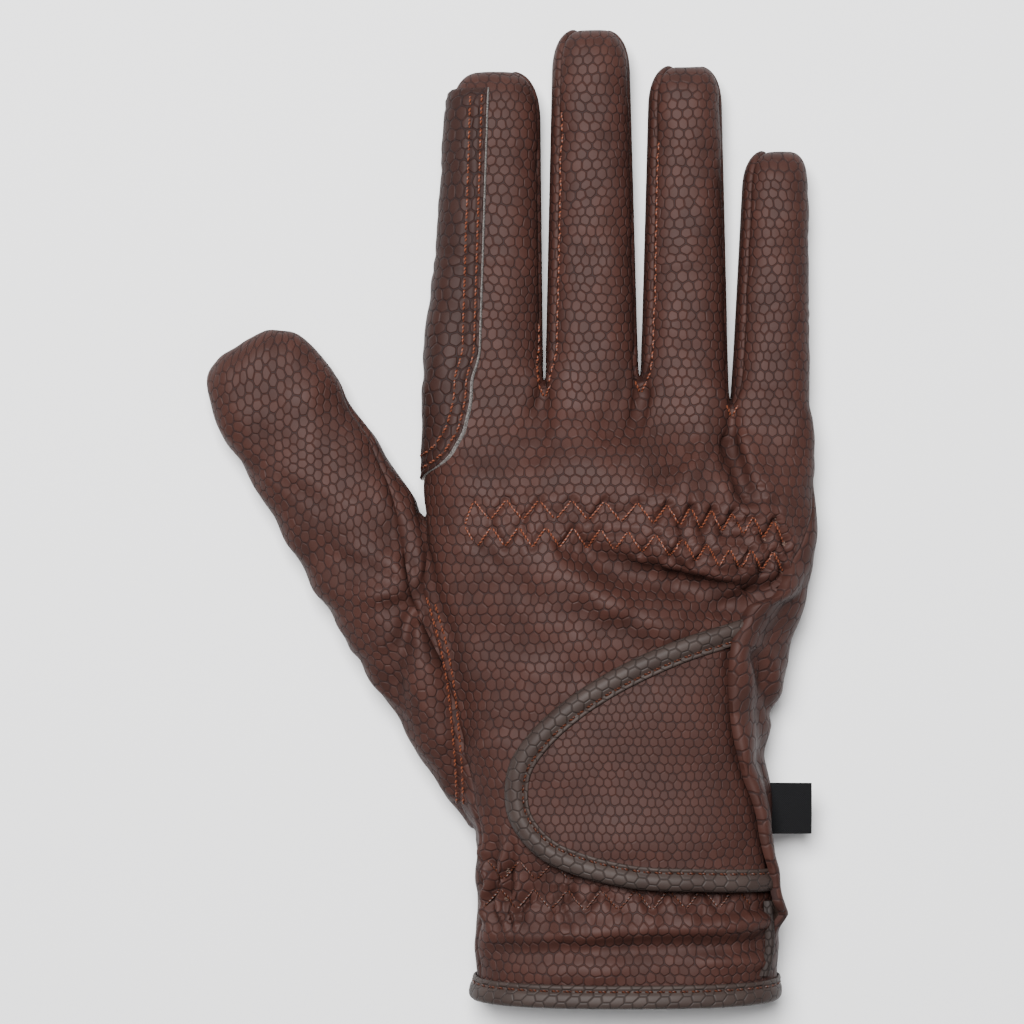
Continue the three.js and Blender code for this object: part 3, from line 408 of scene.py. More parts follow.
def catmull_rom(points, steps=40):
    """A smooth line through points, spaced evenly enough to be read by its length."""
    ends = np.vstack([2 * points[0] - points[1], points, 2 * points[-1] - points[-2]])
    line = []
    for a, b, c, d in zip(ends, ends[1:], ends[2:], ends[3:]):
        da, db, dc = (math.sqrt(np.linalg.norm(q - p)) for p, q in ((a, b), (b, c), (c, d)))
        out = ((b - a) / da - (c - a) / (da + db) + (c - b) / db) * db
        back = ((c - b) / db - (d - b) / (db + dc) + (d - c) / dc) * db
        t = np.linspace(0, 1, steps, endpoint=False)[:, None]
        squared, cubed = 3 * (c - b) - 2 * out - back, 2 * (b - c) + out + back
        line.append(b + out * t + squared * t**2 + cubed * t**3)
    return np.vstack([*line, points[-1:]])


def along_line(line):
    return np.concatenate([[0], np.cumsum(np.linalg.norm(np.diff(line, axis=0), axis=1))])


def at_length(line, where):
    """Points of a line at lengths from its start."""
    run = along_line(line)
    return np.stack([np.interp(where, run, line[:, k]) for k in range(line.shape[1])], -1)


TAB_LINE = catmull_rom(np.array([TAB_TIP_X, TAB_BOTTOM_Y]) + TAB_EDGE * (TAB_LENGTH, TAB_HEIGHT))
TAB_RUN = along_line(TAB_LINE)[-1]
RUN_ON = 6.0  # length by which the edge is drawn on past both ends of the tab's root


def run_on(end, before):
    return end + RUN_ON * (end - before) / np.linalg.norm(end - before)


TAB_LINE = np.vstack([run_on(*TAB_LINE[:2]), TAB_LINE, run_on(*TAB_LINE[:-3:-1])])


def tab_place(share, inward):
    """A place of the tab at a share of its edge and a distance in from it."""
    run = np.asarray(share) * TAB_RUN + RUN_ON
    ahead, behind = at_length(TAB_LINE, run + 0.4), at_length(TAB_LINE, run - 0.4)
    tangent = ahead - behind
    tangent = tangent / np.linalg.norm(tangent, axis=-1, keepdims=True)
    inward = np.asarray(inward)[..., None]
    return at_length(TAB_LINE, run) + inward * np.stack([-tangent[..., 1], tangent[..., 0]], -1)


# Folds, puckers and stitch lines of the back, in plan


def ripple(x, y, seed, wavelength, across=1.0, waves=14):
    """A soft irregular wave between about -1 and 1."""
    draw = np.random.default_rng(seed)
    total = np.zeros(np.shape(x))
    for _ in range(waves):
        turn, phase = draw.uniform(0, math.tau, 2)
        k = math.tau / (wavelength * draw.uniform(0.7, 1.5))
        total = total + np.cos(k * (np.cos(turn) * x * across + np.sin(turn) * y) + phase)
    return total / math.sqrt(waves / 2) * 0.7


def shirring(start, stop, up, pitch, centre, height):
    """Needle holes of one zigzag row, from its thumb end to its outer end."""
    holes, x = [], start
    while x < stop:
        middle = np.interp(x, centre[0], centre[1])
        holes.append((x, middle + (1 if up else -1) * height / 2))
        x += pitch(x) / 2
        up = not up
    return np.array(holes)


UPPER_ROW = shirring(
    -33.4, 37.5, True, lambda x: mix(7.3, 4.7, smooth((x - 1) / 14)),
    ([-34, -12, 3, 10, 16, 23, 28, 33, 38],
     [110.6, 110.7, 110.1, 109.6, 108.9, 107.9, 107.3, 106.3, 105]), 4.5)
LOWER_ROW = shirring(
    -32.5, 36.5, False, lambda x: mix(6.1, 5.0, smooth((x - 8) / 12)),
    ([-34, -12, -5, 3, 9, 14, 19, 24, 31, 36],
     [104.8, 104.5, 104.2, 103.5, 102.9, 101.9, 100.7, 99.8, 99.4, 98.8]), 4.5)
ROW_TURN = catmull_rom(np.array([UPPER_ROW[0], (-35.5, 108.3), (-34.9, 105.2), LOWER_ROW[0]]), 8)
WRIST_UPPER_ROW = shirring(-30.5, 30, True, lambda x: 7.4, ([-31, 30], [30.1, 30.6]), 4.2)
WRIST_LOWER_ROW = shirring(-31.2, 29, False, lambda x: 7.5, ([-31, 30], [23.6, 24.2]), 4.4)
GATHER = (29.5, 91.5)  # the place beside the tab's root where the folds of the back meet
GATHER_FOLDS = 13  # folds that there would be all the way round it
HOLLOW_DEPTH = 4.6
HOLLOW_RADIUS = 3.2
THREAD_FURROW = 0.7  # half width of the furrow along a gathering thread
WRIST_THREAD_FURROW = 0.8
PUCKER_PITCH = 3.7
UNDER_TAB = 0.75  # share by which the folds are pressed flat under the tab

# Creases and ridges of the back: start, end, rise at the start, rise at the end, half width
CREASES = [
    ((-12, 102), (12, 94), -0.1, -0.9, 2.6),
    ((12, 94), (27, 89.5), -0.9, -1.2, 2.4),
    ((-12, 97.5), (-2, 89), 0.35, 0.55, 3.4),
    ((-2, 89), (11, 84.5), 0.55, 0.2, 3.0),
    ((-20, 92), (-6, 78), 0.1, 0.4, 4.0),
    ((24.4, 126), (28, 113), -1.0, -0.7, 1.7),
    ((27.4, 126), (31.0, 114), 0.45, 0.6, 2.0),
    ((20.6, 122), (24.6, 112.5), 0.25, 0.4, 1.8),
    ((9.5, 117), (15.2, 128), -0.5, -0.3, 1.6),
    ((13, 116), (18, 126), 0.25, 0.15, 2.0),
    ((-30, 15.6), (31, 18.4), 0.2, 1.0, 2.1),
    ((-28, 12.0), (31, 13.6), -0.5, -1.0, 2.3),
    ((8, 12.5), (32, 9.2), 0.1, 0.5, 1.5),
    ((18, 20.5), (33, 21.5), -0.3, -0.7, 1.2),
    ((-4, 128), (0, 138), -0.3, -0.1, 2.0),
    ((-22, 128), (-18, 137), -0.2, -0.4, 1.6),
    ((2.5, 127), (4.6, 137), -0.2, -0.5, 1.4),
    ((-30, 99.5), (-16, 88), -0.25, -0.1, 2.6),
    ((-38, 66), (-26, 74), -0.3, -0.1, 2.4),
    ((-36, 56), (-27, 60), 0.3, 0.05, 2.0),
]
FOLD_GAIN = 2.2  # times the rises of the creases
MOST_RELIEF = 3.0  # height and depth that the folds together come near to


def crease(x, y, start, stop, rise0, rise1, width):
    away, share = to_segment(x, y, start, stop)
    return mix(rise0, rise1, share) * np.exp(-((away / width) ** 2))


def near_rows(x, y, rows, width):
    """Nearness of places to the threads of zigzag rows, 1 on a thread, and their distance."""
    away = np.full(np.shape(x), 1e3)
    for row in rows:
        for start, stop in zip(row, row[1:]):
            away = np.minimum(away, to_segment(x, y, start, stop)[0])
    return np.exp(-((away / width) ** 2)), away


def swelling(away, reach, softness):
    """The leather's swelling beside a thread, full up to a reach and then fading."""
    return np.exp(-((np.maximum(0, away - reach) / softness) ** 2))


def zigzag_relief(x, y):
    """The two upper rows: their threads are drawn in, and the leather swells and is pleated between them."""
    strong = smooth((x + 6) / 30)
    on_thread, away = near_rows(x, y, [UPPER_ROW, LOWER_ROW, ROW_TURN], THREAD_FURROW)
    total = swelling(away, 1.3, 2.0) * mix(0.5, 1.35, strong) - on_thread * mix(0.75, 1.7, strong)
    for hole in UPPER_ROW[0::2]:
        tall = mix(2.4, 6.5, smooth((hole[0] - 2) / 26))
        deep = mix(-0.35, -1.25, smooth((hole[0] + 4) / 28))
        total = total + crease(x, y, hole, (hole[0] + 0.5, hole[1] + tall), deep, 0, 1.0)
    for hole in UPPER_ROW[1::2]:
        deep = mix(-0.4, -1.35, smooth((hole[0] + 6) / 30))
        total = total + crease(x, y, hole, (hole[0] + 0.6, hole[1] - 2.2), deep, deep, 0.9)
    for hole in LOWER_ROW[0::2]:
        share = smooth((hole[0] + 2) / 22)
        foot = mix(np.array([hole[0] + 0.8, hole[1] - 3]), np.array(GATHER), 0.62 * share)
        rises = mix(-0.5, -1.7, share), mix(0, -0.9, share)
        total = total + crease(x, y, hole, foot, *rises, mix(0.9, 1.25, share))
    return total


def gather_relief(x, y):
    """Folds that run together beside the tab's root, and how far places are from where they meet."""
    turn = np.arctan2(y - GATHER[1], GATHER[0] + 3 - x)
    reach = np.hypot(x - GATHER[0], y - GATHER[1])
    fan = smooth((reach - 3) / 5) * smooth((24 - reach) / 14) * smooth((x - 2) / 12)
    fan = fan * smooth((np.interp(x, [0, 30], [101, 97]) - y) / 4) * smooth((y - 84) / 6)
    return fan * np.cos(GATHER_FOLDS * turn + 0.6), reach


def wrist_relief(x, y):
    """The wrist's rows, with their puckers standing along the arm, where the tab leaves them bare."""
    on_thread, away = near_rows(x, y, [WRIST_UPPER_ROW, WRIST_LOWER_ROW], WRIST_THREAD_FURROW)
    bare = 1 - smooth((x + 26) / 4) * smooth((28 - x) / 4) * smooth((y - 27) / 3)
    band = np.exp(-(((y - 27) / 9.5) ** 4))
    pucker = np.cos(math.tau * (x + 30.5 + 1.2 * ripple(x, y, 12, 12)) / PUCKER_PITCH)
    rows = swelling(away, 1.4, 1.8) * 0.7 - on_thread
    return bare * (rows + band * pucker * mix(1.4, 0.15, smooth((x + 31) / 26)))


def back_relief(x, y):
    """How far the folds of the back stand over its plain shape."""
    total = 0.55 * ripple(x, y, 3, 26) + 0.13 * ripple(x, y, 5, 10, 0.8) + 0.05 * ripple(x, y, 8, 4.5)
    for line in CREASES:
        total = total + FOLD_GAIN * crease(x, y, *line)
    gather, reach = gather_relief(x, y)
    total = total + zigzag_relief(x, y) + gather
    total = MOST_RELIEF * np.tanh(total / MOST_RELIEF)
    total = mix(total, -HOLLOW_DEPTH, np.exp(-((reach / HOLLOW_RADIUS) ** 2)))
    total = total + wrist_relief(x, y)
    under_tab = smooth((x + 24) / 6) * smooth((y - 30) / 5) * smooth((80 - y) / 8)
    return total * (1 - UNDER_TAB * under_tab * smooth((70 - y + 0.5 * x) / 10))


# Creases over the finger joints: share of the finger's length, depth
JOINT_CREASES = ((0.36, 0.22), (0.41, 0.16), (0.68, 0.2), (0.73, 0.12))


def finger_relief(i, t, x, y):
    """Shallow creases across the fingers at their joints, and a slight waviness."""
    total = 0.12 * ripple(x, y, 21 + i, 11) + 0.05 * ripple(x, y, 31, 4.0, 0.5)
    for at, deep in JOINT_CREASES:
        bend = at + 0.012 * ripple(x, y * 0, 40 + i, 9)
        total = total - deep * np.exp(-(((t - bend) * FINGER_LENGTH[i]) ** 2))
    return total


# Meshes

SHARP_EDGE = math.radians(55)


def quads_of(index):
    """Faces of a grid of point numbers, facing the side where its rows run up and its columns right."""
    corners = [index[:-1, :-1], index[:-1, 1:], index[1:, 1:], index[1:, :-1]]
    return np.stack(corners, -1).reshape(-1, 4)


def normals_of(points, quads):
    a, b, c, d = (points[quads[:, k]] for k in range(4))
    face = np.cross(c - a, d - b)
    total = np.stack([
        np.bincount(quads.ravel(), np.repeat(face[:, k], 4), len(points)) for k in range(3)
    ], -1)
    return total / np.maximum(np.linalg.norm(total, axis=1, keepdims=True), 1e-9)


def rim_of(quads):
    """Edges of a sheet that have a face on one side only, in the direction of that face."""
    edges = np.concatenate([quads[:, [k, (k + 1) % 4]] for k in range(4)])
    size = quads.max() + 1
    one_way, other_way = edges[:, 0] * size + edges[:, 1], edges[:, 1] * size + edges[:, 0]
    return edges[~np.isin(one_way, other_way)]


def distance_to(points, places):
    tree = KDTree(len(places))
    for k, place in enumerate(places):
        tree.insert(place, k)
    tree.balance()
    return np.array([tree.find(p)[2] for p in points])


class Sheet:
    """A skin of the glove: points of its face and behind it, faces, pattern places, and folds' height."""

    def __init__(self, points, behind, quads, uv):
        self.points, self.behind, self.quads, self.uv = points, behind, quads, uv
        self.normals = normals_of(points, quads)
        self.relief = np.zeros(len(points))

    def raise_by(self, height):
        self.relief = self.relief + height
        self.points = self.points + self.normals * height[:, None]
        self.behind = self.behind + self.normals * height[:, None]
        return self

    def keep(self, face_mask):
        """Leaves out faces, and then the points that no face uses."""
        used, flat = np.unique(self.quads[face_mask], return_inverse=True)
        self.quads = flat.reshape(-1, 4)
        for name in ("points", "behind", "uv", "normals", "relief"):
            setattr(self, name, getattr(self, name)[used])
        return self

    def tree(self):
        return BVHTree.FromPolygons(self.points.tolist(), self.quads.tolist())


def make_object(name, points, faces, uv, slots, slot_of_face, facts=()):
    mesh = bpy.data.meshes.new(name)
    mesh.from_pydata((points * METRE + ORIGIN).tolist(), [], faces)
    layer = mesh.uv_layers.new(name="pattern")
    corner = np.zeros(len(mesh.loops), np.int32)
    mesh.loops.foreach_get("vertex_index", corner)
    layer.data.foreach_set("uv", (uv[corner] * METRE).astype(np.float32).ravel())
    for fact, values in facts:
        mesh.attributes.new(fact, "FLOAT", "POINT").data.foreach_set("value", values.astype(np.float32))
    for finish in slots:
        mesh.materials.append(finish)
    mesh.polygons.foreach_set("material_index", np.asarray(slot_of_face, np.int32))
    mesh.shade_smooth()
    mesh.set_sharp_from_angle(angle=SHARP_EDGE)
    mesh.validate()
    mesh.update()
    made = bpy.data.objects.new(name, mesh)
    bpy.context.collection.objects.link(made)
    return made


def walled(name, sheet, face_material, back_material, edge_material=None, edge_faces=None):
    """An object with a sheet's face, its back and the rim between them."""
    count = len(sheet.points)
    rim = rim_of(sheet.quads)
    faces = np.concatenate([
        sheet.quads,
        sheet.quads[:, ::-1] + count,
        np.stack([rim[:, 1], rim[:, 0], rim[:, 0] + count, rim[:, 1] + count], -1),
    ])
    slot = np.repeat([0, 1, 2 if edge_material else 0], [len(sheet.quads), len(sheet.quads), len(rim)])
    slots = [face_material, back_material]
    if edge_material:
        slots.append(edge_material)
        slot[:len(sheet.quads)][edge_faces] = 2
    points = np.concatenate([sheet.points, sheet.behind])
    facts = [("relief", np.concatenate([sheet.relief, sheet.relief]))]
    uv = np.concatenate([sheet.uv, sheet.uv])
    return make_object(name, points, faces.tolist(), uv, slots, slot, facts)


def lengths_along(grid):
    """Length from the first column, for each place of a grid of points."""
    steps = np.linalg.norm(np.diff(grid, axis=1), axis=2)
    return np.concatenate([np.zeros((len(grid), 1)), np.cumsum(steps, axis=1)], 1)


HAND_STEP = 0.8  # height of a row of the hand's grid
COLUMNS = 38  # columns of the grid for each finger
FINGER_STEPS = 78  # rows up a finger, and TIP_STEPS round its tip
TIP_STEPS = 14


def finger_rows(i):
    rounding = TIP_ROUNDING * FINGER_WIDTH[i] * FINGER_NARROWING[i] / 2 / FINGER_LENGTH[i]
    plain = np.linspace(0, 1 - rounding, FINGER_STEPS + 1)[1:]
    tip = 1 - rounding * (1 - np.sin(np.linspace(0, math.pi / 2, TIP_STEPS + 1)[1:]))
    return np.concatenate([plain, tip])


def skin(side, flap):
    """The back (side 1) or the palm side (side -1) of the hand and fingers, as one sheet."""
    v = np.linspace(HEM_EDGE / HAND_LENGTH, 1, round(HAND_LENGTH / HAND_STEP))
    u = np.linspace(0, FINGER_COUNT, COLUMNS * FINGER_COUNT + 1)
    v_grid, u_grid = np.meshgrid(v, u, indexing="ij")
    grids = [hand_point(side, u_grid, v_grid, inset, flap) for inset in (0, WALL)]
    runs = lengths_along(grids[0])
    half = [len(u) // 2]
    place = np.stack([runs - runs[:, half] + grids[0][:, half, 0], grids[0][..., 1]], -1)
    index = np.arange(v_grid.size).reshape(v_grid.shape)
    points, behind, uv = ([g.reshape(-1, g.shape[-1])] for g in (*grids, place))
    finger = [np.full(v_grid.size, -1)]
    along = [v_grid.ravel()]
    quads, fingers = [quads_of(index)], []
    count = v_grid.size
    for i in range(FINGER_COUNT):
        t_grid, share = np.meshgrid(finger_rows(i), np.linspace(0, 1, COLUMNS + 1), indexing="ij")
        grids = [finger_point(i, side, share, t_grid, inset) for inset in (0, WALL)]
        runs = lengths_along(grids[0])
        half = [COLUMNS // 2]
        root = place[-1, i * COLUMNS + COLUMNS // 2, 0] - grids[0][0, half, 0]
        finger_place = np.stack([runs - runs[:, half] + grids[0][:, half, 0] + root, grids[0][..., 1]], -1)
        own = count + np.arange(t_grid.size).reshape(t_grid.shape)
        own = np.vstack([index[-1:, i * COLUMNS:(i + 1) * COLUMNS + 1], own])
        quads.append(quads_of(own))
        fingers.append(own)
        for store, grid in zip((points, behind, uv), (*grids, finger_place)):
            store.append(grid.reshape(-1, grid.shape[-1]))
        finger.append(np.full(t_grid.size, i))
        along.append(t_grid.ravel())
        count += t_grid.size
    quads = np.concatenate(quads)
    quads = quads if side > 0 else quads[:, ::-1]
    sheet = Sheet(np.concatenate(points), np.concatenate(behind), quads, np.concatenate(uv))
    sheet.finger, sheet.along = np.concatenate(finger), np.concatenate(along)
    sheet.finger_index = fingers
    return sheet


def seam_roll(distance, deep=0.55, width=1.4):
    """Where a panel's edge turns down into its seam."""
    return -deep * np.clip(1 - distance / width, 0, 1) ** 2


def side_line(sheet, index, inset, from_right=False):
    """Points and normals of a sheet at a distance from one side of a grid, row by row."""
    grid = sheet.points[index]
    normals = sheet.normals[index]
    if from_right:
        grid, normals = grid[:, ::-1], normals[:, ::-1]
    runs = lengths_along(grid)
    line = np.array([[np.interp(inset, r, g[:, k]) for k in range(3)] for r, g in zip(runs, grid)])
    up = np.array([[np.interp(inset, r, n[:, k]) for k in range(3)] for r, n in zip(runs, normals)])
    return line, up


def hem_point(side, u, y, depth):
    """A place on the hem's binding: its height along the arm and its depth into the leather."""
    share = np.asarray(y) / HEM_BINDING_WIDTH
    low = hand_point(side, u, 0.0, depth)
    high = hand_point(side, u, HEM_BINDING_WIDTH / HAND_LENGTH, depth)
    return mix(low, high, share)


def frame_origin():
    """Where the pattern's own zero lies in the frame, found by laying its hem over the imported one."""
    turns = [(1, u) for u in np.linspace(0, FINGER_COUNT, 21)]
    turns += [(-1, u) for u in np.linspace(FINGER_COUNT, 0, 17)[1:-1]]
    corners = ((0, -SEAM_GAP), (BINDING_WALL, -HEM_LIFT), (HEM_BINDING_WIDTH - 0.4, -HEM_LIFT))
    ring = [hem_point(side, u, y, depth) for side, u in turns for y, depth in corners]
    return np.array(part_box("hem_binding")[0]) - np.min(ring, axis=0) * METRE


ORIGIN = frame_origin()


# Shaders


class Value:
    """A number or vector of a shader, whose arithmetic adds Math or Vector Math nodes."""

    def __init__(self, shader, socket):
        self.shader, self.socket = shader, socket

    def math(self, operation, *others, vector=False):
        kind = "ShaderNodeVectorMath" if vector else "ShaderNodeMath"
        return self.shader.node(kind, {"operation": operation}, dict(enumerate((self, *others))))

    def is_vector(self):
        return self.socket.type in {"VECTOR", "RGBA"}

    def _both(self, operation, first, second):
        node = "ShaderNodeVectorMath" if self.is_vector() else "ShaderNodeMath"
        return self.shader.node(node, {"operation": operation}, {0: first, 1: second})

    def __add__(self, other):
        return self._both("ADD", self, other)

    def __radd__(self, other):
        return self._both("ADD", other, self)

    def __sub__(self, other):
        return self._both("SUBTRACT", self, other)

    def __rsub__(self, other):
        return self._both("SUBTRACT", other, self)

    def __mul__(self, other):
        if self.is_vector() and not isinstance(other, (Value, tuple)):
            sockets = {0: self, "Scale": other}
            return self.shader.node("ShaderNodeVectorMath", {"operation": "SCALE"}, sockets)
        return self._both("MULTIPLY", self, other)

    def __rmul__(self, other):
        return self * other

    def __truediv__(self, other):
        return self._both("DIVIDE", self, other)

    def least(self, other):
        return self._both("MINIMUM", self, other)

    def most(self, other):
        return self._both("MAXIMUM", self, other)

    def ramp(self, low, high, start=0.0, stop=1.0):
        """A smooth step from start to stop as this value goes from low to high."""
        sockets = {0: self, 1: low, 2: high, 3: start, 4: stop}
        return self.shader.node("ShaderNodeMapRange", {"interpolation_type": "SMOOTHSTEP"}, sockets)


class Shader:
    """A material's nodes."""

    def __init__(self, name):
        self.material = bpy.data.materials.new(name)
        self.material.use_nodes = True
        self.tree = self.material.node_tree
        self.surface = self.tree.nodes["Principled BSDF"]

    def node(self, kind, settings=None, sockets=None, out=0):
        made = self.tree.nodes.new(kind)
        for name, value in (settings or {}).items():
            setattr(made, name, value)
        for name, value in (sockets or {}).items():
            self.join(made.inputs[name], value)
        return Value(self, made.outputs[out])

    def join(self, socket, value):
        if isinstance(value, Value):
            self.tree.links.new(value.socket, socket)
        elif isinstance(value, tuple) and socket.type == "RGBA" and len(value) == 3:
            socket.default_value = (*value, 1)
        else:
            socket.default_value = value

    def set(self, **sockets):
        for name, value in sockets.items():
            self.join(self.surface.inputs[name.replace("_", " ")], value)

    def place(self):
        """The piece's pattern places in millimetres."""
        uv = self.node("ShaderNodeUVMap", {"uv_map": "pattern"})
        return uv * (1 / METRE)

    def parts(self, vector):
        made = self.tree.nodes.new("ShaderNodeSeparateXYZ")
        self.tree.links.new(vector.socket, made.inputs[0])
        return [Value(self, made.outputs[k]) for k in range(3)]

    def vector(self, x, y, z=0.0):
        return self.node("ShaderNodeCombineXYZ", None, {0: x, 1: y, 2: z})

    def noise(self, place, size, detail=2.0, rough=0.5, colour=False):
        """Cloudy noise whose lumps are about size millimetres."""
        return self.node("ShaderNodeTexNoise", {"noise_dimensions": "3D"},
                         {"Vector": place, "Scale": 1 / size, "Detail": detail, "Roughness": rough},
                         "Color" if colour else 0)

    def blend(self, share, first, second):
        made = self.tree.nodes.new("ShaderNodeMix")
        made.data_type = "RGBA"
        for socket, value in zip((made.inputs[0], made.inputs[6], made.inputs[7]), (share, first, second)):
            self.join(socket, value)
        return Value(self, made.outputs[2])

    def fact(self, name):
        return self.node("ShaderNodeAttribute", {"attribute_name": name}, None, "Fac")

    def bump(self, height, millimetres):
        return self.node("ShaderNodeBump", None,
                         {"Strength": 1.0, "Distance": millimetres * METRE, "Height": height})


def cells(shader, place, uneven):
    """Six-sided cells one unit apart: distances from a cell's middle and edge, and its own number."""
    rise = math.sqrt(3) / 2
    x, y, _ = shader.parts(place)
    row = (y / rise).math("ROUND")
    odd = row.math("FLOORED_MODULO", 2.0)
    shift = odd * 0.5
    near = (x - shift).math("ROUND") + shift
    side_shift = 0.5 - shift
    side = (x - side_shift).math("FLOOR") + side_shift
    sites = [(near + step, row) for step in (-1.0, 0.0, 1.0)]
    sites += [(side + step, row + turn) for turn in (-1.0, 1.0) for step in (0.0, 1.0)]
    first = second = own = None
    for column_at, row_at in sites:
        key = shader.vector(column_at * 2.0, row_at)
        draw = shader.tree.nodes.new("ShaderNodeTexWhiteNoise")
        draw.noise_dimensions = "2D"
        shader.join(draw.inputs["Vector"], key)
        number, colour = Value(shader, draw.outputs["Value"]), Value(shader, draw.outputs["Color"])
        base = shader.vector(column_at - uneven / 2, row_at * rise - uneven / 2)
        site = colour.math("MULTIPLY_ADD", (uneven, uneven, 0.0), base, vector=True)
        flat = (place - site) * (1.0, 1.0, 0.0)
        away = shader.node("ShaderNodeVectorMath", {"operation": "LENGTH"}, {0: flat}, "Value")
        if first is None:
            first, second, own = away, away + 9.0, number
            continue
        closer = away.math("LESS_THAN", first)
        second = second.least(first.most(away))
        own = own + (number - own) * closer
        first = first.least(away)
    edge = (second * second - first * first) * 0.5
    return first, edge, own


def toned(colour, share):
    return tuple(part * share for part in colour)


def embossed(name, colour="top_colour", tone=1.0, line_colour="groove_colour", cell="cell", size=1.0,
             uneven=0.3, depth=1.0, sharp=0.0, wander=1.0, rougher=0.0):
    """Leather with cells pressed into it: the leather's settings, with some of them changed."""
    look = bpy.context.scene.glove_leather
    top, groove = toned(getattr(look, colour), tone), tuple(getattr(look, line_colour))
    pitch = getattr(look, cell) / METRE * size
    shader = Shader(name)
    place = shader.place()
    drift = (shader.noise(place, 22.0, 1.0, colour=True) - (0.5, 0.5, 0.5)) * (4.0 * wander)
    jiggle = (shader.noise(place, 5.0, 1.0, colour=True) - (0.5, 0.5, 0.5)) * (0.6 * wander)
    tall = mix(1.14, 1.0, sharp)
    lattice = (place + drift + jiggle) * (1 / pitch, 1 / pitch / tall, 1.0)
    middle, edge, own = cells(shader, lattice, uneven)
    rounded = edge - (middle - 0.42).most(0.0) * (0.5 * (1 - sharp))
    dome = rounded.ramp(-0.02, mix(0.11, 0.12, sharp))
    line = rounded.ramp(-0.012, mix(0.028, 0.045, sharp), 1.0, 0.0)
    cloud = shader.noise(place, 9.0, 3.0)
    grain = shader.noise(place, 0.22, 3.0, 0.6)
    relief = shader.fact("relief")
    # Painted highlight and shade: lighter where the folds stand highest and plain colour down in their
    # hollows, as if lit from above; this mask also makes the crests a little less rough
    lit_crests = relief.ramp(-0.5, 0.9)
    rim = mix(np.array(top), np.array(groove), 0.3)
    tint = shader.blend(own, toned(top, 0.84), toned(top, 1.14))
    tint = shader.blend(cloud.ramp(0.35, 0.7) * 0.4, tint, tuple(look.shade_colour))
    # painted highlight on the folds' crests
    tint = shader.blend(lit_crests * 0.3, tint, toned(top, 1.35))
    tint = shader.blend((1.0 - rounded.ramp(0.0, 0.16)) * 0.3, tint, tuple(rim.tolist()))
    height = dome * (0.82 + own * 0.18) - middle * middle * 0.5 + grain * 0.06
    shader.set(Base_Color=shader.blend(line * mix(0.52, 0.9, sharp), tint, groove),
               Roughness=look.roughness + rougher + grain * 0.14 + line * 0.12 - lit_crests * 0.04,
               Normal=shader.bump(height, look.depth / METRE * depth),
               IOR=1.46, Specular_IOR_Level=0.18)


def twisted(name, tone):
    """Thread of plies twisted round each other."""
    look = bpy.context.scene.glove_thread
    shader = Shader(name)
    along, _, _ = shader.parts(shader.place())
    turn = along * (math.tau / (look.twist / METRE))
    twist = turn.math("SINE") * shader.fact("round_cos") + turn.math("COSINE") * shader.fact("round_sin")
    fuzz = shader.noise(shader.place(), 0.12, 2.0)
    # painted shade: the thread is darker in the hollows between its plies, where the twist turns away
    dark, light = toned(look.dark_colour, tone), toned(look.light_colour, tone)
    colour = shader.blend(twist.ramp(-0.9, 0.6), dark, light)
    shader.set(Base_Color=colour, Roughness=0.42 + fuzz * 0.2,
               Normal=shader.bump(twist * 0.5 + fuzz * 0.3, 0.12), Specular_IOR_Level=0.3)


def woven(name, dark, light, yarn, rough):
    """A fine plain weave or knit."""
    shader = Shader(name)
    place = shader.place()
    x, y, _ = shader.parts(place)
    warp = (x * (math.tau / yarn)).math("SINE")
    weft = (y * (math.tau / yarn)).math("SINE")
    height = warp * weft * 0.5 + shader.noise(place, yarn * 0.6, 2.0) * 0.5
    # painted shade: darker where the weave lies lower
    colour = shader.blend(height.ramp(-0.4, 0.8), dark, light)
    shader.set(Base_Color=colour, Roughness=rough + height * 0.05, Normal=shader.bump(height, yarn * 0.4),
               Specular_IOR_Level=0.12)


def felted(name, dark, light):
    """The grey backing that shows where leather is cut."""
    shader = Shader(name)
    place = shader.node("ShaderNodeTexCoord", None, None, "Object") * (1 / METRE)
    fibre = shader.noise(place, 0.3, 4.0, 0.7)
    colour = shader.blend(fibre.ramp(0.35, 0.62), dark, light)
    shader.set(Base_Color=colour, Roughness=0.85 + fibre * 0.1, Normal=shader.bump(fibre, 0.3))


def looped(name, dark, light):
    """The napped face of a hook and loop pad."""
    shader = Shader(name)
    place = shader.node("ShaderNodeTexCoord", None, None, "Object") * (1 / METRE)
    loops = shader.node(
        "ShaderNodeTexVoronoi", {"feature": "F1"}, {"Vector": place, "Scale": 1.6}, "Distance")
    # painted shade: darker in the gaps between the loops
    colour = shader.blend(loops.ramp(0.1, 0.7), light, dark)
    shader.set(Base_Color=colour, Roughness=0.75 + loops * 0.1, Normal=shader.bump(1.0 - loops, 0.3))


# The bindings' settings in place of the leather's
BOUND = {"colour": "binding_colour", "line_colour": "binding_groove", "cell": "binding_cell"}
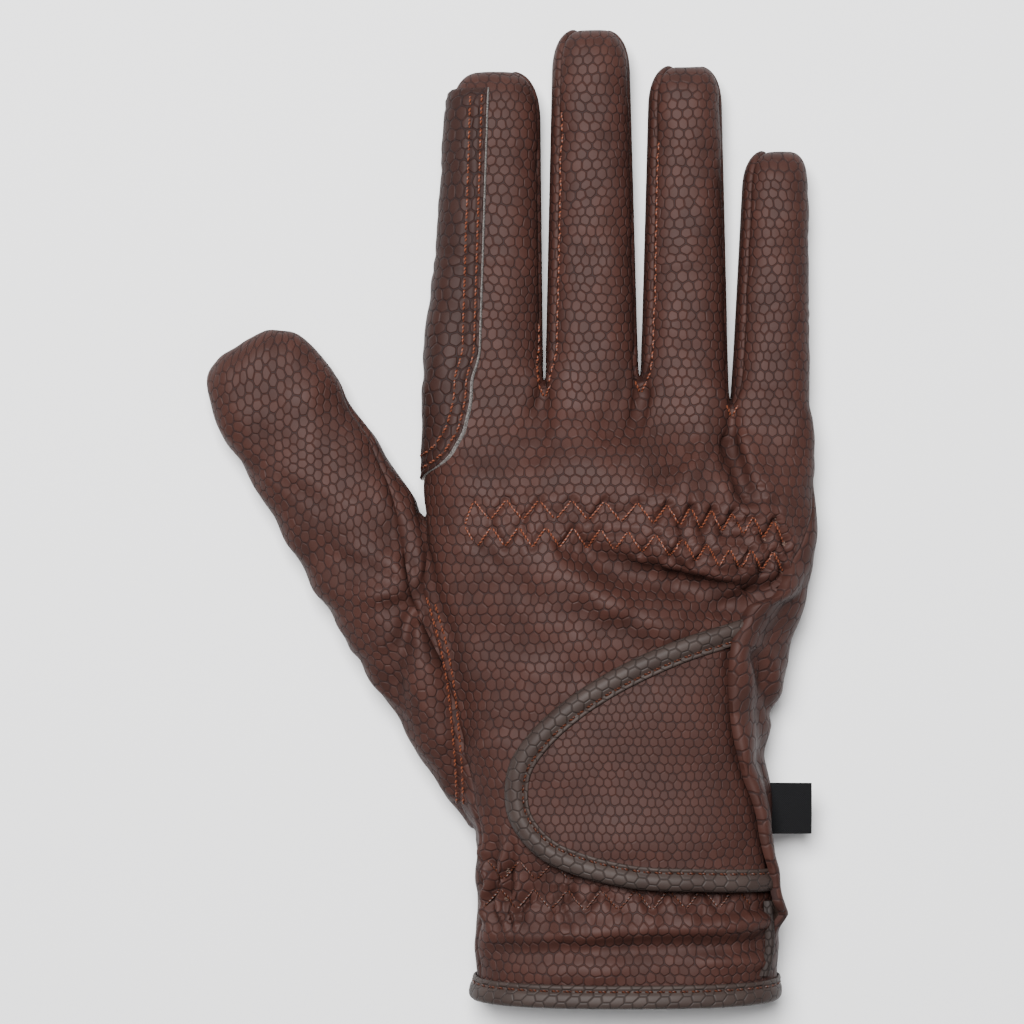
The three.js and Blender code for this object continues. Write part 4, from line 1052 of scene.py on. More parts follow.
# What each finish changes of the settings of its kind
FINISHES = {
    "back_leather": (embossed, {}),
    "palm_leather": (embossed, {"cell": "palm_cell"}),
    "patch_embossed": (embossed, {"tone": 0.62, "size": 1.2}),
    "fine_leather": (embossed, {"tone": 0.94, "size": 0.88, "depth": 0.8, "wander": 0.6}),
    "binding_leather": (embossed, {**BOUND, "uneven": 0.03, "sharp": 1.0, "wander": 0.0, "rougher": -0.06}),
    # painted shade: the vent's binding is half as bright as the other bindings, for the dark slit of the
    # vent
    "vent_leather": (embossed, {**BOUND, "tone": 0.5, "size": 0.6, "uneven": 0.2, "wander": 0.4}),
    "rust_thread": (twisted, {"tone": 1.0}),
    # painted shade: a darker copy of the rust thread, for the wrist rows and the bindings' stitches, which
    # sit in furrows and grooves
    "dark_rust_thread": (twisted, {"tone": 0.42}),
    "lining": (woven, {"dark": (0.03, 0.017, 0.013), "light": (0.11, 0.07, 0.055),
                       "yarn": 0.55, "rough": 0.8}),
    "label_cloth": (woven, {"dark": (0.002, 0.002, 0.0025), "light": (0.011, 0.011, 0.012),
                            "yarn": 0.42, "rough": 0.85}),
    "cut_edge": (felted, {"dark": (0.03, 0.024, 0.022), "light": (0.2, 0.185, 0.175)}),
    "hook_pad_black": (looped, {"dark": (0.008, 0.008, 0.009), "light": (0.03, 0.03, 0.032)}),
}


def material(name):
    """A finish of the glove, made the first time that a piece asks for it."""
    if name not in bpy.data.materials:
        make, changes = FINISHES[name]
        make(name, **changes)
    return bpy.data.materials[name]


# Skins of the glove, each made once and shared by the operators


def face_centres(sheet):
    return sheet.points[sheet.quads].mean(axis=1)


def folds_of(sheet):
    """Folds of the back of the hand, which run out into the fingers."""
    x, y = sheet.points[:, 0], sheet.points[:, 1]
    on_hand = back_relief(x, y) * smooth((y - 3) / 5)
    total = on_hand.copy()
    for i in range(FINGER_COUNT):
        mine = sheet.finger == i
        own = finger_relief(i, sheet.along[mine], x[mine], y[mine])
        total[mine] = mix(on_hand[mine], own, smooth(sheet.along[mine] / 0.12))
    return total


KNUCKLE_SWELL = 1.3


def knuckle_swell(sheet):
    """The outer side of the index finger runs on from the hand without a waist."""
    side = smooth((FINGER_EDGES[0] + 8 - sheet.points[:, 0]) / 6)
    root = smooth(sheet.along / 0.08) * (1 - smooth((sheet.along - 0.08) / 0.4))
    return np.where(sheet.finger == 0, KNUCKLE_SWELL * side * root, 0)


def from_rim(sheet):
    rim = np.unique(rim_of(sheet.quads))
    rim = rim[sheet.points[rim, 1] > HEM_BINDING_WIDTH]
    return distance_to(sheet.points, sheet.points[rim])


JOIN_WIDTH = 1.5  # of the furrow where the thumb is sewn to the hand
HAND_JOIN_DEPTH = 0.9  # its depth in the hand's leather
THUMB_JOIN_DEPTH = 0.8  # its depth in the thumb's leather
DEEPEST_KEPT = 5.0  # how far a piece runs on inside the one that covers it
LOW_DEPTH_KEPT = 1.5  # the same for the palm's underside
THUMB_DEPTH_KEPT = 4.0


def at_thumb(points):
    """The furrow where the thumb is sewn to the hand."""
    return -HAND_JOIN_DEPTH * np.exp(-((outside_thumb(points) / JOIN_WIDTH) ** 2))


# Rows that the visible seams run up the fingers, and their distance from the fingers' sides
SEAM_ROWS, SEAM_INSET = 70, 1.3
INDEX_SEAM_ROWS, INDEX_SEAM_INSET = 20, 1.2


@cache
def back_sheet():
    sheet = skin(1, 1.0)
    on_hand = sheet.finger < 0
    height = folds_of(sheet) + seam_roll(from_rim(sheet)) + knuckle_swell(sheet)
    height[on_hand] += at_thumb(sheet.points[on_hand])
    sheet.raise_by(height)
    sheet.normals = normals_of(sheet.points, sheet.quads)
    index, middle, ring, _ = sheet.finger_index
    sheet.lines = {
        "middle": side_line(sheet, middle[:SEAM_ROWS], SEAM_INSET),
        "ring": side_line(sheet, ring[:SEAM_ROWS], SEAM_INSET),
        "index": side_line(sheet, index[:INDEX_SEAM_ROWS], INDEX_SEAM_INSET, True),
    }
    sheet.keep(outside_thumb(face_centres(sheet)) >= -DEEPEST_KEPT)
    return sheet


# Folds of the palm's edge beside the tab, as the creases of the back
FLAP_CREASES = [
    ((29.6, 78), (34.6, 64), -1.6, -0.9, 1.5),
    ((32.4, 79), (37.0, 66), 0.8, 0.5, 1.8),
    ((31.8, 58), (36.5, 46), -0.8, -0.5, 1.4),
    ((28.2, 72), (30.6, 58), 0.5, 0.4, 1.5),
]


@cache
def palm_sheet():
    sheet = skin(-1, 1.0)
    x, y = sheet.points[:, 0], sheet.points[:, 1]
    away = from_rim(sheet)
    shared = np.exp(-away / 5)
    beside_tab = smooth((x - 20) / 6) * flap_along(y / HAND_LENGTH)
    own = 0.25 * ripple(x, y, 51, 18) + 0.1 * ripple(x, y, 52, 6)
    height = mix(own, folds_of(sheet), shared * (1 - beside_tab))
    waves = 0.3 * beside_tab * np.cos(y / 3.1 + 1.5 * ripple(x, y, 53, 20))
    height = height + seam_roll(away) + knuckle_swell(sheet) + waves
    for line in FLAP_CREASES:
        height = height + beside_tab * crease(x, y, *line)
    on_hand = sheet.finger < 0
    height[on_hand] += at_thumb(sheet.points[on_hand])
    sheet.raise_by(height)
    sheet.points[:, 2] = np.maximum(sheet.points[:, 2], 0)
    sheet.normals = normals_of(sheet.points, sheet.quads)
    centres = face_centres(sheet)
    kept = mix(LOW_DEPTH_KEPT, DEEPEST_KEPT, smooth((centres[:, 2] - 4) / 5))
    sheet.keep(outside_thumb(centres) >= -kept)
    return sheet


STRIP_BODY = 0.9  # share of the finger up to which the strip's rows are evenly spaced
STRIP_ROWS, STRIP_TIP_ROWS = 75, 21
STRIP_HALF = 8  # columns of half the strip


@cache
def strip_sheet(i):
    """The strip up finger i, round the fork and up the next finger."""
    tip = np.sin(np.linspace(0, math.pi / 2, STRIP_TIP_ROWS + 1)[1:])
    tip = STRIP_BODY + (STRIP_END - STRIP_BODY) * tip
    along = np.concatenate([np.linspace(0, STRIP_BODY, STRIP_ROWS + 1)[1:], tip])
    rows = np.concatenate([-along[::-1], [0], along])
    share = np.linspace(0, 1, 2 * STRIP_HALF + 1)

    def surface(inset):
        result = []
        for t in rows:
            sides = [fork_side(i, finger, abs(t), share, inset) for finger in (i, i + 1)]
            if t == 0:
                row = (sides[0] + sides[1]) / 2
                row[:, 1] = HAND_LENGTH + FINGER_FORK[i] + SEAM_GAP + WALL - inset
            else:
                row = sides[0] if t < 0 else sides[1]
            result.append(row)
        return np.array(result)

    outer, inner = surface(0), surface(WALL)
    run = along_line(outer[:, STRIP_HALF])
    place = np.stack([lengths_along(outer), np.broadcast_to(run[:, None], outer.shape[:2])], -1)
    quads = quads_of(np.arange(outer[..., 0].size).reshape(outer.shape[:2]))[:, ::-1]
    sheet = Sheet(outer.reshape(-1, 3), inner.reshape(-1, 3), quads, place.reshape(-1, 2))
    away = distance_to(sheet.points, sheet.points[np.unique(rim_of(quads))])
    bulge = np.outer(smooth((np.abs(rows) - 0.02) / 0.06), np.sin(math.pi * share) ** 0.5).ravel()
    sheet.raise_by(seam_roll(away, 0.45, 1.2) + 0.4 * bulge)
    return sheet


def fork_side(i, finger, t, share, inset):
    top_left, top_right, low_left, low_right = finger_seams(finger, t)
    clear = FORK_CLEARANCE * (1 - smooth(t / 0.1))
    if finger == i:
        angle = mix(top_right - clear, clear - low_right, share)
    else:
        angle = mix(180 - top_left + clear, 180 + low_left - clear, share)
    oval = finger_oval(finger, t)
    return finger_skin(finger, oval, np.radians(angle), FINGER_FORK[i], t, inset)


GATHERED_THUMB = (-46.0, 91.5)  # the place at the thumb's root where its folds meet
# The seam between the thumb and the back, in plan
HAND_SEAM = np.array([
    (-36.6, 44), (-36.8, 52), (-37.4, 60), (-38.7, 72), (-40.2, 80), (-42.4, 88), (-43.6, 92),
])
# Folds of the thumb, as the creases of the back
THUMB_CREASES = [
    ((-46.9, 90.4), (-61.8, 75), -1.7, -0.6, 2.6),
    ((-51.2, 94.2), (-63.7, 84.6), 1.0, 0.6, 3.2),
    ((-51.2, 105.8), (-61.8, 95.2), -1.2, -0.3, 2.8),
    ((-47.9, 87.5), (-51.2, 71.1), -1.3, -0.8, 2.2),
    ((-51.2, 71.1), (-49.2, 56.7), -0.8, -0.2, 2.4),
    ((-55, 84), (-58, 66), 0.7, 0.3, 3.6),
    ((-50.5, 112), (-52, 122), -0.8, -0.2, 2.2),
]


def thumb_relief(points):
    """Folds that run from the thumb's root, and a slight waviness."""
    x, y, z = points.T
    reach = np.hypot(x - GATHERED_THUMB[0], y - GATHERED_THUMB[1])
    turn = np.arctan2(y - GATHERED_THUMB[1], x - GATHERED_THUMB[0])
    fold = np.cos(8 * turn + 0.8 * ripple(x, y, 62, 14)) * np.exp(-reach / 20) * smooth((reach - 1) / 6)
    to_hand = x - np.interp(y, HAND_SEAM[:, 1], HAND_SEAM[:, 0])
    dive = 2.2 * smooth((to_hand + 5) / 6) * smooth((y - 36) / 8)
    dive = dive * smooth((98 - y) / 6) * smooth((z - 8) / 5)
    lines = sum(crease(x, y, *line) for line in THUMB_CREASES)
    waves = 0.45 * ripple(x, y, 60, 19) + 0.12 * ripple(x, y + z, 61, 6)
    return waves + (fold + lines) * smooth((z - 3) / 6) - dive


THUMB_ROWS, THUMB_TIP_ROWS = 132, 18
THUMB_COLUMNS, GUSSET_COLUMNS = 90, 34


@cache
def thumb_sheet(outer_piece):
    rounding = TIP_ROUNDING * THUMB_WIDTH / 2 / THUMB_WHOLE
    stop = 1.0 if outer_piece else THUMB_GUSSET_END
    s = np.linspace(0, min(stop, 1 - rounding), THUMB_ROWS)
    tip = 1 - rounding * (1 - np.sin(np.linspace(0, math.pi / 2, THUMB_TIP_ROWS + 1)[1:]))
    s = np.concatenate([s, tip]) if outer_piece else np.concatenate([s, tip[tip < stop], [stop]])
    share = np.linspace(0, 1, THUMB_COLUMNS if outer_piece else GUSSET_COLUMNS)
    s_grid, share = np.meshgrid(s, share, indexing="ij")
    start = THUMB_UNDER_SEAM + 360 if outer_piece else thumb_seam(s_grid)
    end = thumb_seam(s_grid) if outer_piece else THUMB_UNDER_SEAM
    turn = mix(start, end, share)
    outer, inner = thumb_point(turn, s_grid, 0), thumb_point(turn, s_grid, WALL)
    run = lengths_along(outer)
    place = np.stack([run - run[:, [run.shape[1] // 2]], s_grid * THUMB_WHOLE], -1)
    index = np.arange(s_grid.size).reshape(s_grid.shape)
    sheet = Sheet(outer.reshape(-1, 3), inner.reshape(-1, 3), quads_of(index), place.reshape(-1, 2))
    join = -THUMB_JOIN_DEPTH * np.exp(-((outside_hand(sheet.points) / JOIN_WIDTH) ** 2))
    sheet.raise_by(thumb_relief(sheet.points) + seam_roll(from_rim(sheet), 0.8, 1.6) + join)
    sheet.points[:, 2] = np.maximum(sheet.points[:, 2], 0)
    sheet.normals = normals_of(sheet.points, sheet.quads)
    sheet.keep(outside_hand(face_centres(sheet)) >= -THUMB_DEPTH_KEPT)
    return sheet


PATCH_SEAMS = (1.5, 4.1)  # stitch lines of the patch, from its edge
PATCH_TURN = 8  # column of the patch's grid at the index finger's side
PATCH_ROWS = 87  # rows up the finger
RAW_EDGE = 2  # rows and columns of the patch's faces that show its cut backing
PATCH_FINE = (0.853, 0.88)  # shares up to which, and from which on, its grid is finer towards its cut edge


@cache
def patch_sheet():
    """The wear patch on the index finger's side."""
    foot, inner_side = PATCH_FINE
    on_hand = np.concatenate([np.linspace(PATCH_EDGE[0, 0], foot, 9), np.linspace(foot, 1, 27)[1:]])
    on_finger = np.linspace(0, PATCH_TIP, PATCH_ROWS + 1)[1:]
    share = np.concatenate([
        np.linspace(-1, 0, PATCH_TURN + 1), np.linspace(0, inner_side, 34)[1:],
        np.linspace(inner_side, 1, 18)[1:],
    ])
    rows = np.concatenate([on_hand, 1 + on_finger])
    row_grid, share_grid = np.meshgrid(rows, share, indexing="ij")
    reach = np.where(share_grid >= 0, share_grid * patch_reach(row_grid), -share_grid * PATCH_UNDER)

    def surface(depth):
        result = np.zeros((*row_grid.shape, 3))
        for side, mine in ((1, share_grid[0] >= 0), (-1, share_grid[0] < 0)):
            low, high = np.ix_(rows <= 1, mine), np.ix_(rows > 1, mine)
            result[low] = hand_point(side, reach[low], row_grid[low], depth)
            result[high] = finger_point(0, side, reach[high], row_grid[high] - 1, depth)
        return result

    outer, inner = surface(-SEAM_GAP - PATCH_THICKNESS), surface(-SEAM_GAP)
    run = lengths_along(outer)
    place = np.stack([run - run[:, [PATCH_TURN]], outer[..., 1]], -1)
    index = np.arange(row_grid.size).reshape(row_grid.shape)
    sheet = Sheet(outer.reshape(-1, 3), inner.reshape(-1, 3), quads_of(index), place.reshape(-1, 2))
    sheet.finger = np.where(row_grid > 1, 0, -1).ravel()
    sheet.along = np.maximum(row_grid - 1, 0).ravel()
    rim = np.unique(rim_of(sheet.quads))
    away = distance_to(sheet.points, sheet.points[rim])
    furrow = sum(-0.28 * np.exp(-(((away - at) / 0.55) ** 2)) for at in PATCH_SEAMS)
    sheet.raise_by(folds_of(sheet) + seam_roll(away, 0.5, 0.8) + furrow + knuckle_swell(sheet))
    sheet.normals = normals_of(sheet.points, sheet.quads)
    sheet.grid = index
    return sheet


TAB_ROWS, TAB_COLUMNS = 86, 74
TAB_LAST_ROW = 0.965  # share of the way from the tab's root to its tip
TAB_CROWN = 0.35  # rise of the tab's middle
TAB_DIP = 0.7  # by which the tab goes down where it runs under the palm's edge


@cache
def tab_sheet():
    rows, columns = np.linspace(0, TAB_LAST_ROW, TAB_ROWS), np.linspace(0, 1, TAB_COLUMNS)
    share, across = np.meshgrid(rows, columns, indexing="ij")
    edge = BINDING_WALL + SEAM_GAP
    plan = mix(tab_place(share / 2, edge), tab_place(1 - share / 2, edge), across[..., None])
    x = np.minimum(plan[..., 0], palm_edge(plan[..., 1]) + TAB_TUCK)
    y = plan[..., 1]
    height, half = tab_lift(x, y), TAB_THICKNESS / 2
    outer, inner = (np.stack([x, y, back_height(x, y, height + rise)], -1) for rise in (half, -half))
    quads = quads_of(np.arange(x.size).reshape(x.shape))[:, ::-1]
    sheet = Sheet(outer.reshape(-1, 3), inner.reshape(-1, 3), quads, np.stack([x, y], -1).reshape(-1, 2))
    x, y = sheet.points[:, 0], sheet.points[:, 1]
    away = distance_to(sheet.points, sheet.points[np.unique(rim_of(quads))])
    crown = TAB_CROWN * smooth((away - 3.5) / 9) * smooth((palm_edge(y) - x) / 8)
    dip = -TAB_DIP * smooth((x - palm_edge(y) + 2.4) / 2)
    sheet.raise_by(crown + dip + 0.22 * ripple(x, y, 71, 19) * smooth((away - 3) / 4))
    return sheet


# Solid strips swept along an edge


def swept(rings, closed):
    """Points and faces of a ring swept through space, with both ends closed or joined."""
    count, size = rings.shape[:2]
    index = np.arange(count * size).reshape(count, size)
    index = np.concatenate([index, index[:, :1]], 1)
    if closed:
        index = np.concatenate([index, index[:1]])
    quads = quads_of(index)
    points = rings.reshape(-1, 3)
    faces = outward(points, quads).tolist()
    if not closed:
        turned = faces[0] != quads[0].tolist()
        ends = [list(range(size)), list(range((count - 1) * size, count * size))[::-1]]
        faces += [end[::-1] if turned else end for end in ends]
    return points, faces


def outward(points, quads):
    """The quads, turned round if together they face inwards."""
    p = points - points.mean(axis=0)
    a, b, c, d = (p[quads[:, k]] for k in range(4))
    volume = np.einsum("ij,ij->", a, np.cross(b, c)) + np.einsum("ij,ij->", a, np.cross(c, d))
    return quads if volume > 0 else quads[:, ::-1]


# Section of the tab's binding: distance in from the edge, height over the tab's middle
TAB_BINDING_SECTION = [
    (5.2, 0.8), (5.22, 1.0), (5.05, 1.2), (4.75, 1.27), (4.5, 1.16), (4.3, 1.0),
    (4.12, 0.94), (3.92, 1.04), (3.5, 1.38), (2.95, 1.64), (2.25, 1.74), (1.5, 1.66),
    (0.9, 1.38), (0.38, 0.9), (0.07, 0.34), (0, -0.2), (0.1, -0.7), (0.42, -1.16),
    (1.0, -1.48), (1.9, -1.62), (4.7, -1.32), (4.7, -0.98), (1.05, -0.98), (1.05, 0.8),
]
# Section of the hem's binding: distance from the hem, depth into the leather
HEM_SECTION = [
    (5.2, -0.3), (5.2, -0.62), (4.98, -0.86), (4.6, -0.94), (4.25, -0.78), (4.02, -0.62),
    (3.82, -0.58), (3.6, -0.68), (3.3, -0.98), (2.9, -1.15), (2.3, -1.2), (1.6, -1.2),
    (0.95, -1.06), (0.42, -0.7), (0.08, -0.2), (0, 0.6), (0.1, 1.5), (0.6, 2.2),
    (1.4, 2.4), (4.8, 2.3), (5.0, 1.6), (1.0, 1.5), (1.0, -0.3),
]
TAB_RINGS = 350
TAB_BINDING_RUN = (-0.025, 1.03)  # shares of the tab's edge between which its binding may run
TAB_BINDING_SPINE = 2.0  # distance in from the edge at which its ends are found
TAB_BINDING_TUCK = (2.5, 0.6)  # how far its upper and lower ends run on under the palm's edge
HEM_RINGS = (170, 150)  # on the back and on the palm side
VENT_RINGS, VENT_RING_POINTS = 70, 9
GROOVE = 6  # point of both sections at the bottom of the stitched groove
HEM_TOP = 10  # point of the hem's section along which its length is taken


def section_run(section):
    """Length round a section, for each of its points."""
    return along_line(np.array(section, float))


def tab_binding_rings():
    shares = np.linspace(*TAB_BINDING_RUN, TAB_RINGS)
    spine = tab_place(shares, TAB_BINDING_SPINE)
    tucked = np.where(shares < 0.5, *TAB_BINDING_TUCK)
    shares = shares[spine[:, 0] < palm_edge(spine[:, 1]) + tucked]
    rings = []
    for into, up in TAB_BINDING_SECTION:
        place = tab_place(shares, np.full(len(shares), into))
        x, y = place[:, 0], place[:, 1]
        puff = 0.06 * ripple(shares * TAB_RUN, shares * 0, 73, 9) if up > 1 else 0
        rings.append(np.stack([x, y, back_height(x, y, tab_lift(x, y) + up + puff)], -1))
    return np.stack(rings, 1), shares * TAB_RUN


def hem_rings():
    on_back, on_palm = HEM_RINGS
    turns = ((1, np.linspace(0, FINGER_COUNT, on_back)), (-1, np.linspace(FINGER_COUNT, 0, on_palm)[1:-1]))
    return np.concatenate([
        np.stack([hem_point(side, u, y, depth) for y, depth in HEM_SECTION], 1) for side, u in turns
    ])


def vent_rings():
    y = np.linspace(VENT_START, VENT_START + VENT_LENGTH, VENT_RINGS)
    v = y / HAND_LENGTH
    oval = hand_oval(v)
    seam = np.radians(OUTER_SIDE(v))
    half = VENT_WIDTH / 2
    rings = []
    for turn in np.linspace(0, math.pi, VENT_RING_POINTS):
        across, up = -half * math.cos(turn), VENT_HEIGHT * math.sin(turn) ** 0.8
        angle = seam + (half + SEAM_GAP - across) / (oval.half * 0.75)
        x, z = oval.point(angle, -SEAM_GAP - up)
        rings.append(np.stack([x, y, z + fold_rise(x, y) * smooth(np.sin(angle) * 1.6)], -1))
    return np.stack(rings, 1)


def strip_object(name, rings, section_length, run, closed, slots):
    points, faces = swept(rings, closed)
    across = np.broadcast_to(section_length, rings.shape[:2])
    along = np.broadcast_to(run[:, None], rings.shape[:2])
    uv = np.stack([across, along], -1).reshape(-1, 2)
    facts = [("relief", np.zeros(len(points)))]
    return make_object(name, points, faces, uv, slots, np.zeros(len(faces)), facts)


# Thread

STITCH_SHARES = np.array([0, 0.1, 0.28, 0.5, 0.72, 0.9, 1])
STITCH_HEIGHTS = np.array([-2.2, 0.15, 0.75, 0.9, 0.75, 0.15, -2.2])
THREAD_SIDES = 5
TWIST_SHIFT = 1.37  # length by which the twist of one stitch is shifted against that of the last
LEAN_UP = np.array([0, 0, 0.6])  # by which the direction out of the leather is turned upwards
# Stitch length, gap and start of the seams in the tab's and the hem's bindings
TAB_SEWING = (1.7, 0.75, 0.5)
HEM_SEWING = (1.8, 0.8, 0.5)
THUMB_SEAM_ASIDE = (-0.8, 0.7)  # places of the two rows of stitches beside the thumb's seam
THUMB_SEAM_UP = (-0.3, 0, 1.0)  # direction out of the leather there
FINGER_SEAM_START = 0.6  # length before the first stitch of a finger's seam
PATCH_STITCH = 1.05  # times the length of a plain stitch
STITCH_RINGS, SHORT_STITCH_RINGS = 9, 7
TURN_STEP = 11  # points of the zigzag rows' turn from one stitch to the next
OVERHEAD = 200.0  # height from which a line is let down on the leather
DOWN = Vector((0, 0, -1))


class Spool:
    """Stitches that are gathered into one piece."""

    def __init__(self):
        self.radius = bpy.context.scene.glove_thread.diameter / METRE / 2
        self.stitches = []

    def lay(self, line, up):
        """A thread over a line of the leather, going down into it at both ends."""
        shares = along_line(line)
        heights = np.interp(shares / shares[-1], STITCH_SHARES, STITCH_HEIGHTS) * self.radius
        up = up / np.linalg.norm(up, axis=1, keepdims=True)
        self.stitches.append((line + up * heights[:, None], up))

    def sew(self, line, up, length, gap, start=0.0):
        """Stitches of one length along a line, up being the direction out of the leather."""
        run = along_line(line)
        at = start
        while at + length < run[-1]:
            where = at + length * STITCH_SHARES
            away = np.stack([np.interp(where, run, up[:, k]) for k in range(3)], -1)
            self.lay(at_length(line, where), away)
            at += length + gap

    def wind(self, name, finish="rust_thread"):
        """One object of all the stitches."""
        points, faces, uv, cosines, sines = [], [], [], [], []
        turns = np.arange(THREAD_SIDES) * math.tau / THREAD_SIDES
        count = run = 0
        for line, up in self.stitches:
            ahead = np.gradient(line, axis=0)
            side = np.cross(ahead, up)
            side /= np.linalg.norm(side, axis=1, keepdims=True)
            lift = np.cross(side, ahead)
            lift /= np.linalg.norm(lift, axis=1, keepdims=True)
            ring = np.cos(turns)[:, None] * side[:, None] + np.sin(turns)[:, None] * lift[:, None]
            rings = line[:, None] + ring * self.radius
            own_points, own_faces = swept(rings, False)
            points.append(own_points)
            faces += [[k + count for k in face] for face in own_faces]
            along = np.repeat(run + along_line(line), THREAD_SIDES)
            uv.append(np.stack([along, along * 0], -1))
            cosines.append(np.tile(np.cos(turns), len(line)))
            sines.append(np.tile(np.sin(turns), len(line)))
            count += len(own_points)
            run += TWIST_SHIFT
        facts = [("round_cos", np.concatenate(cosines)), ("round_sin", np.concatenate(sines))]
        return make_object(name, np.concatenate(points), faces, np.concatenate(uv), [material(finish)],
                           np.zeros(len(faces)), facts)


def over(trees, start, stop, rings=STITCH_RINGS):
    """A straight line in plan, laid from above over the highest of some sheets."""
    shares = np.linspace(0, 1, rings)
    plan = np.array(start) + shares[:, None] * (np.array(stop) - np.array(start))
    line, up = [], []
    for x, y in plan:
        hits = [tree.ray_cast(Vector((x, y, OVERHEAD)), DOWN) for tree in trees]
        hits = [hit[:2] for hit in hits if hit[0] is not None]
        if not hits:
            raise RuntimeError(f"a stitch at {x:.1f}, {y:.1f} lies beside the leather")
        place, normal = max(hits, key=lambda hit: hit[0].z)
        line.append(place)
        up.append(normal if normal.z > 0 else -normal)
    line, up = np.array(line), np.array(up)
    up = up + LEAN_UP
    chord = mix(line[0], line[-1], shares[:, None])
    line[:, 2] = np.maximum(line[:, 2], mix(line[:, 2], chord[:, 2], 0.5))
    return line, up


PATCH_LINE_STEP = 0.8
PATCH_WINDOW = 9  # places over which the direction of the patch's edge is evened out
# Bottoms of the finger gaps, in plan
FINGER_GAPS = ((-17.45, 138.4), (4.35, 139.4), (24.95, 133.9))
GAP_STITCH = ((1.4, 0.6), (0.15, -2.1))  # ends of a stitch there: aside of the bottom, and above it


def patch_line(sheet, inset):
    """A line on the patch at a distance from its edge: across its foot and up its long side."""
    grid = sheet.grid
    places = sheet.points[:, :2]
    rim = np.concatenate([places[grid[0, PATCH_TURN:]], places[grid[1:, -1]]])
    rim = at_length(rim, np.arange(0, along_line(rim)[-1], PATCH_LINE_STEP))
    tangent = np.gradient(rim, axis=0)
    window = np.hanning(PATCH_WINDOW) / np.hanning(PATCH_WINDOW).sum()
    padded = np.pad(tangent, ((PATCH_WINDOW // 2, PATCH_WINDOW // 2), (0, 0)), "edge")
    tangent = np.stack([np.convolve(padded[:, k], window, "valid") for k in range(2)], -1)
    tangent /= np.linalg.norm(tangent, axis=1, keepdims=True)
    plan = rim + inset * np.stack([-tangent[:, 1], tangent[:, 0]], -1)
    tree = sheet.tree()
    line, up = [], []
    for x, y in plan:
        place, normal, _, _ = tree.ray_cast(Vector((x, y, OVERHEAD)), DOWN)
        if place is not None:
            line.append(place)
            up.append(normal if normal.z > 0 else -normal)
    return np.array(line), np.array(up)


def groove_line(rings, k):
    """The bottom of a binding's groove, and the direction out of it."""
    line = rings[:, k]
    chord = rings[:, k - 2] - rings[:, k + 2]
    ahead = np.gradient(line, axis=0)
    up = np.cross(ahead, chord)
    up *= np.sign(up[:, 2:].sum())
    return line, up / np.linalg.norm(up, axis=1, keepdims=True)


# Settings


def length_setting(name, default, description):
    return bpy.props.FloatProperty(
        name=name, default=default, description=description, min=0.00001, soft_max=10, unit="LENGTH",
        precision=5)


def colour_setting(name, default, description):
    return bpy.props.FloatVectorProperty(
        name=name, default=default, description=description, subtype="COLOR", size=3, min=0, max=1)


class GloveLeather(bpy.types.PropertyGroup):
    """Colours and embossing of the leather"""

    cell: length_setting("Cell", 0.0022, "Distance between the middles of two embossed cells")
    palm_cell: length_setting("Palm cell", 0.0031, "Distance between the middles of the palm's cells")
    depth: length_setting("Depth", 0.00015, "Depth of the embossed lines")
    binding_cell: length_setting("Binding cell", 0.0029, "Distance between the cells of the bindings")
    roughness: bpy.props.FloatProperty(
        name="Roughness", default=0.56, description="Roughness of the cells' tops", min=0, max=1,
        subtype="FACTOR")
    top_colour: colour_setting("Cells", (0.033, 0.0120, 0.0088), "Colour of the cells' tops")
    shade_colour: colour_setting("Shade", (0.018, 0.0076, 0.0062), "Darker colour that clouds the cells")
    groove_colour: colour_setting("Lines", (0.0070, 0.0050, 0.0056), "Colour of the embossed lines")
    binding_colour: colour_setting("Binding", (0.031, 0.0220, 0.0190), "Colour of the bindings' cells")
    binding_groove: colour_setting(
        "Binding lines", (0.006, 0.0048, 0.0048), "Colour of the bindings' lines")


class GloveThread(bpy.types.PropertyGroup):
    """The sewing thread"""

    diameter: length_setting("Diameter", 0.00048, "Thickness of the thread")
    stitch: length_setting("Stitch", 0.0019, "Length of a plain stitch")
    gap: length_setting("Gap", 0.0006, "Leather between two plain stitches")
    twist: length_setting("Twist", 0.0009, "Length in which the thread's plies turn once")
    # painted shade between the plies
    dark_colour: colour_setting("Hollows", (0.030, 0.0080, 0.0048), "Colour between the plies")
    light_colour: colour_setting("Plies", (0.135, 0.037, 0.0165), "Colour of the plies")


class GloveLabel(bpy.types.PropertyGroup):
    """The plain label at the outer seam"""

    fold: length_setting("Fold", 0.0004, "Radius of the label's folded end")


class GloveStage(bpy.types.PropertyGroup):
    """Floor, lights and camera"""

    floor: length_setting("Floor", 4.0, "Width of the floor")
    floor_colour: colour_setting("Floor", (0.86, 0.86, 0.87), "Colour of the floor")
    height: length_setting("Framed height", 0.232, "Height that the camera frames")
    lens: bpy.props.FloatProperty(
        name="Lens", default=100.0, description="Focal length of the camera", min=1, unit="CAMERA")
    key: bpy.props.FloatProperty(name="Key", default=30.0, description="Main light", min=0, unit="POWER")
    fill: bpy.props.FloatProperty(name="Fill", default=2.0, description="Fill light", min=0, unit="POWER")
    surround: bpy.props.FloatProperty(
        name="Surround", default=0.11, description="Strength of the even light", min=0)


# Operators


def settle(piece, slot, *nodes):
    """Says what a piece rides on and hides the nodes that it stands for; the finish slot that it is given is
    not used.
    """
    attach(piece, "root")
    if nodes:
        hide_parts(*nodes)
    return piece


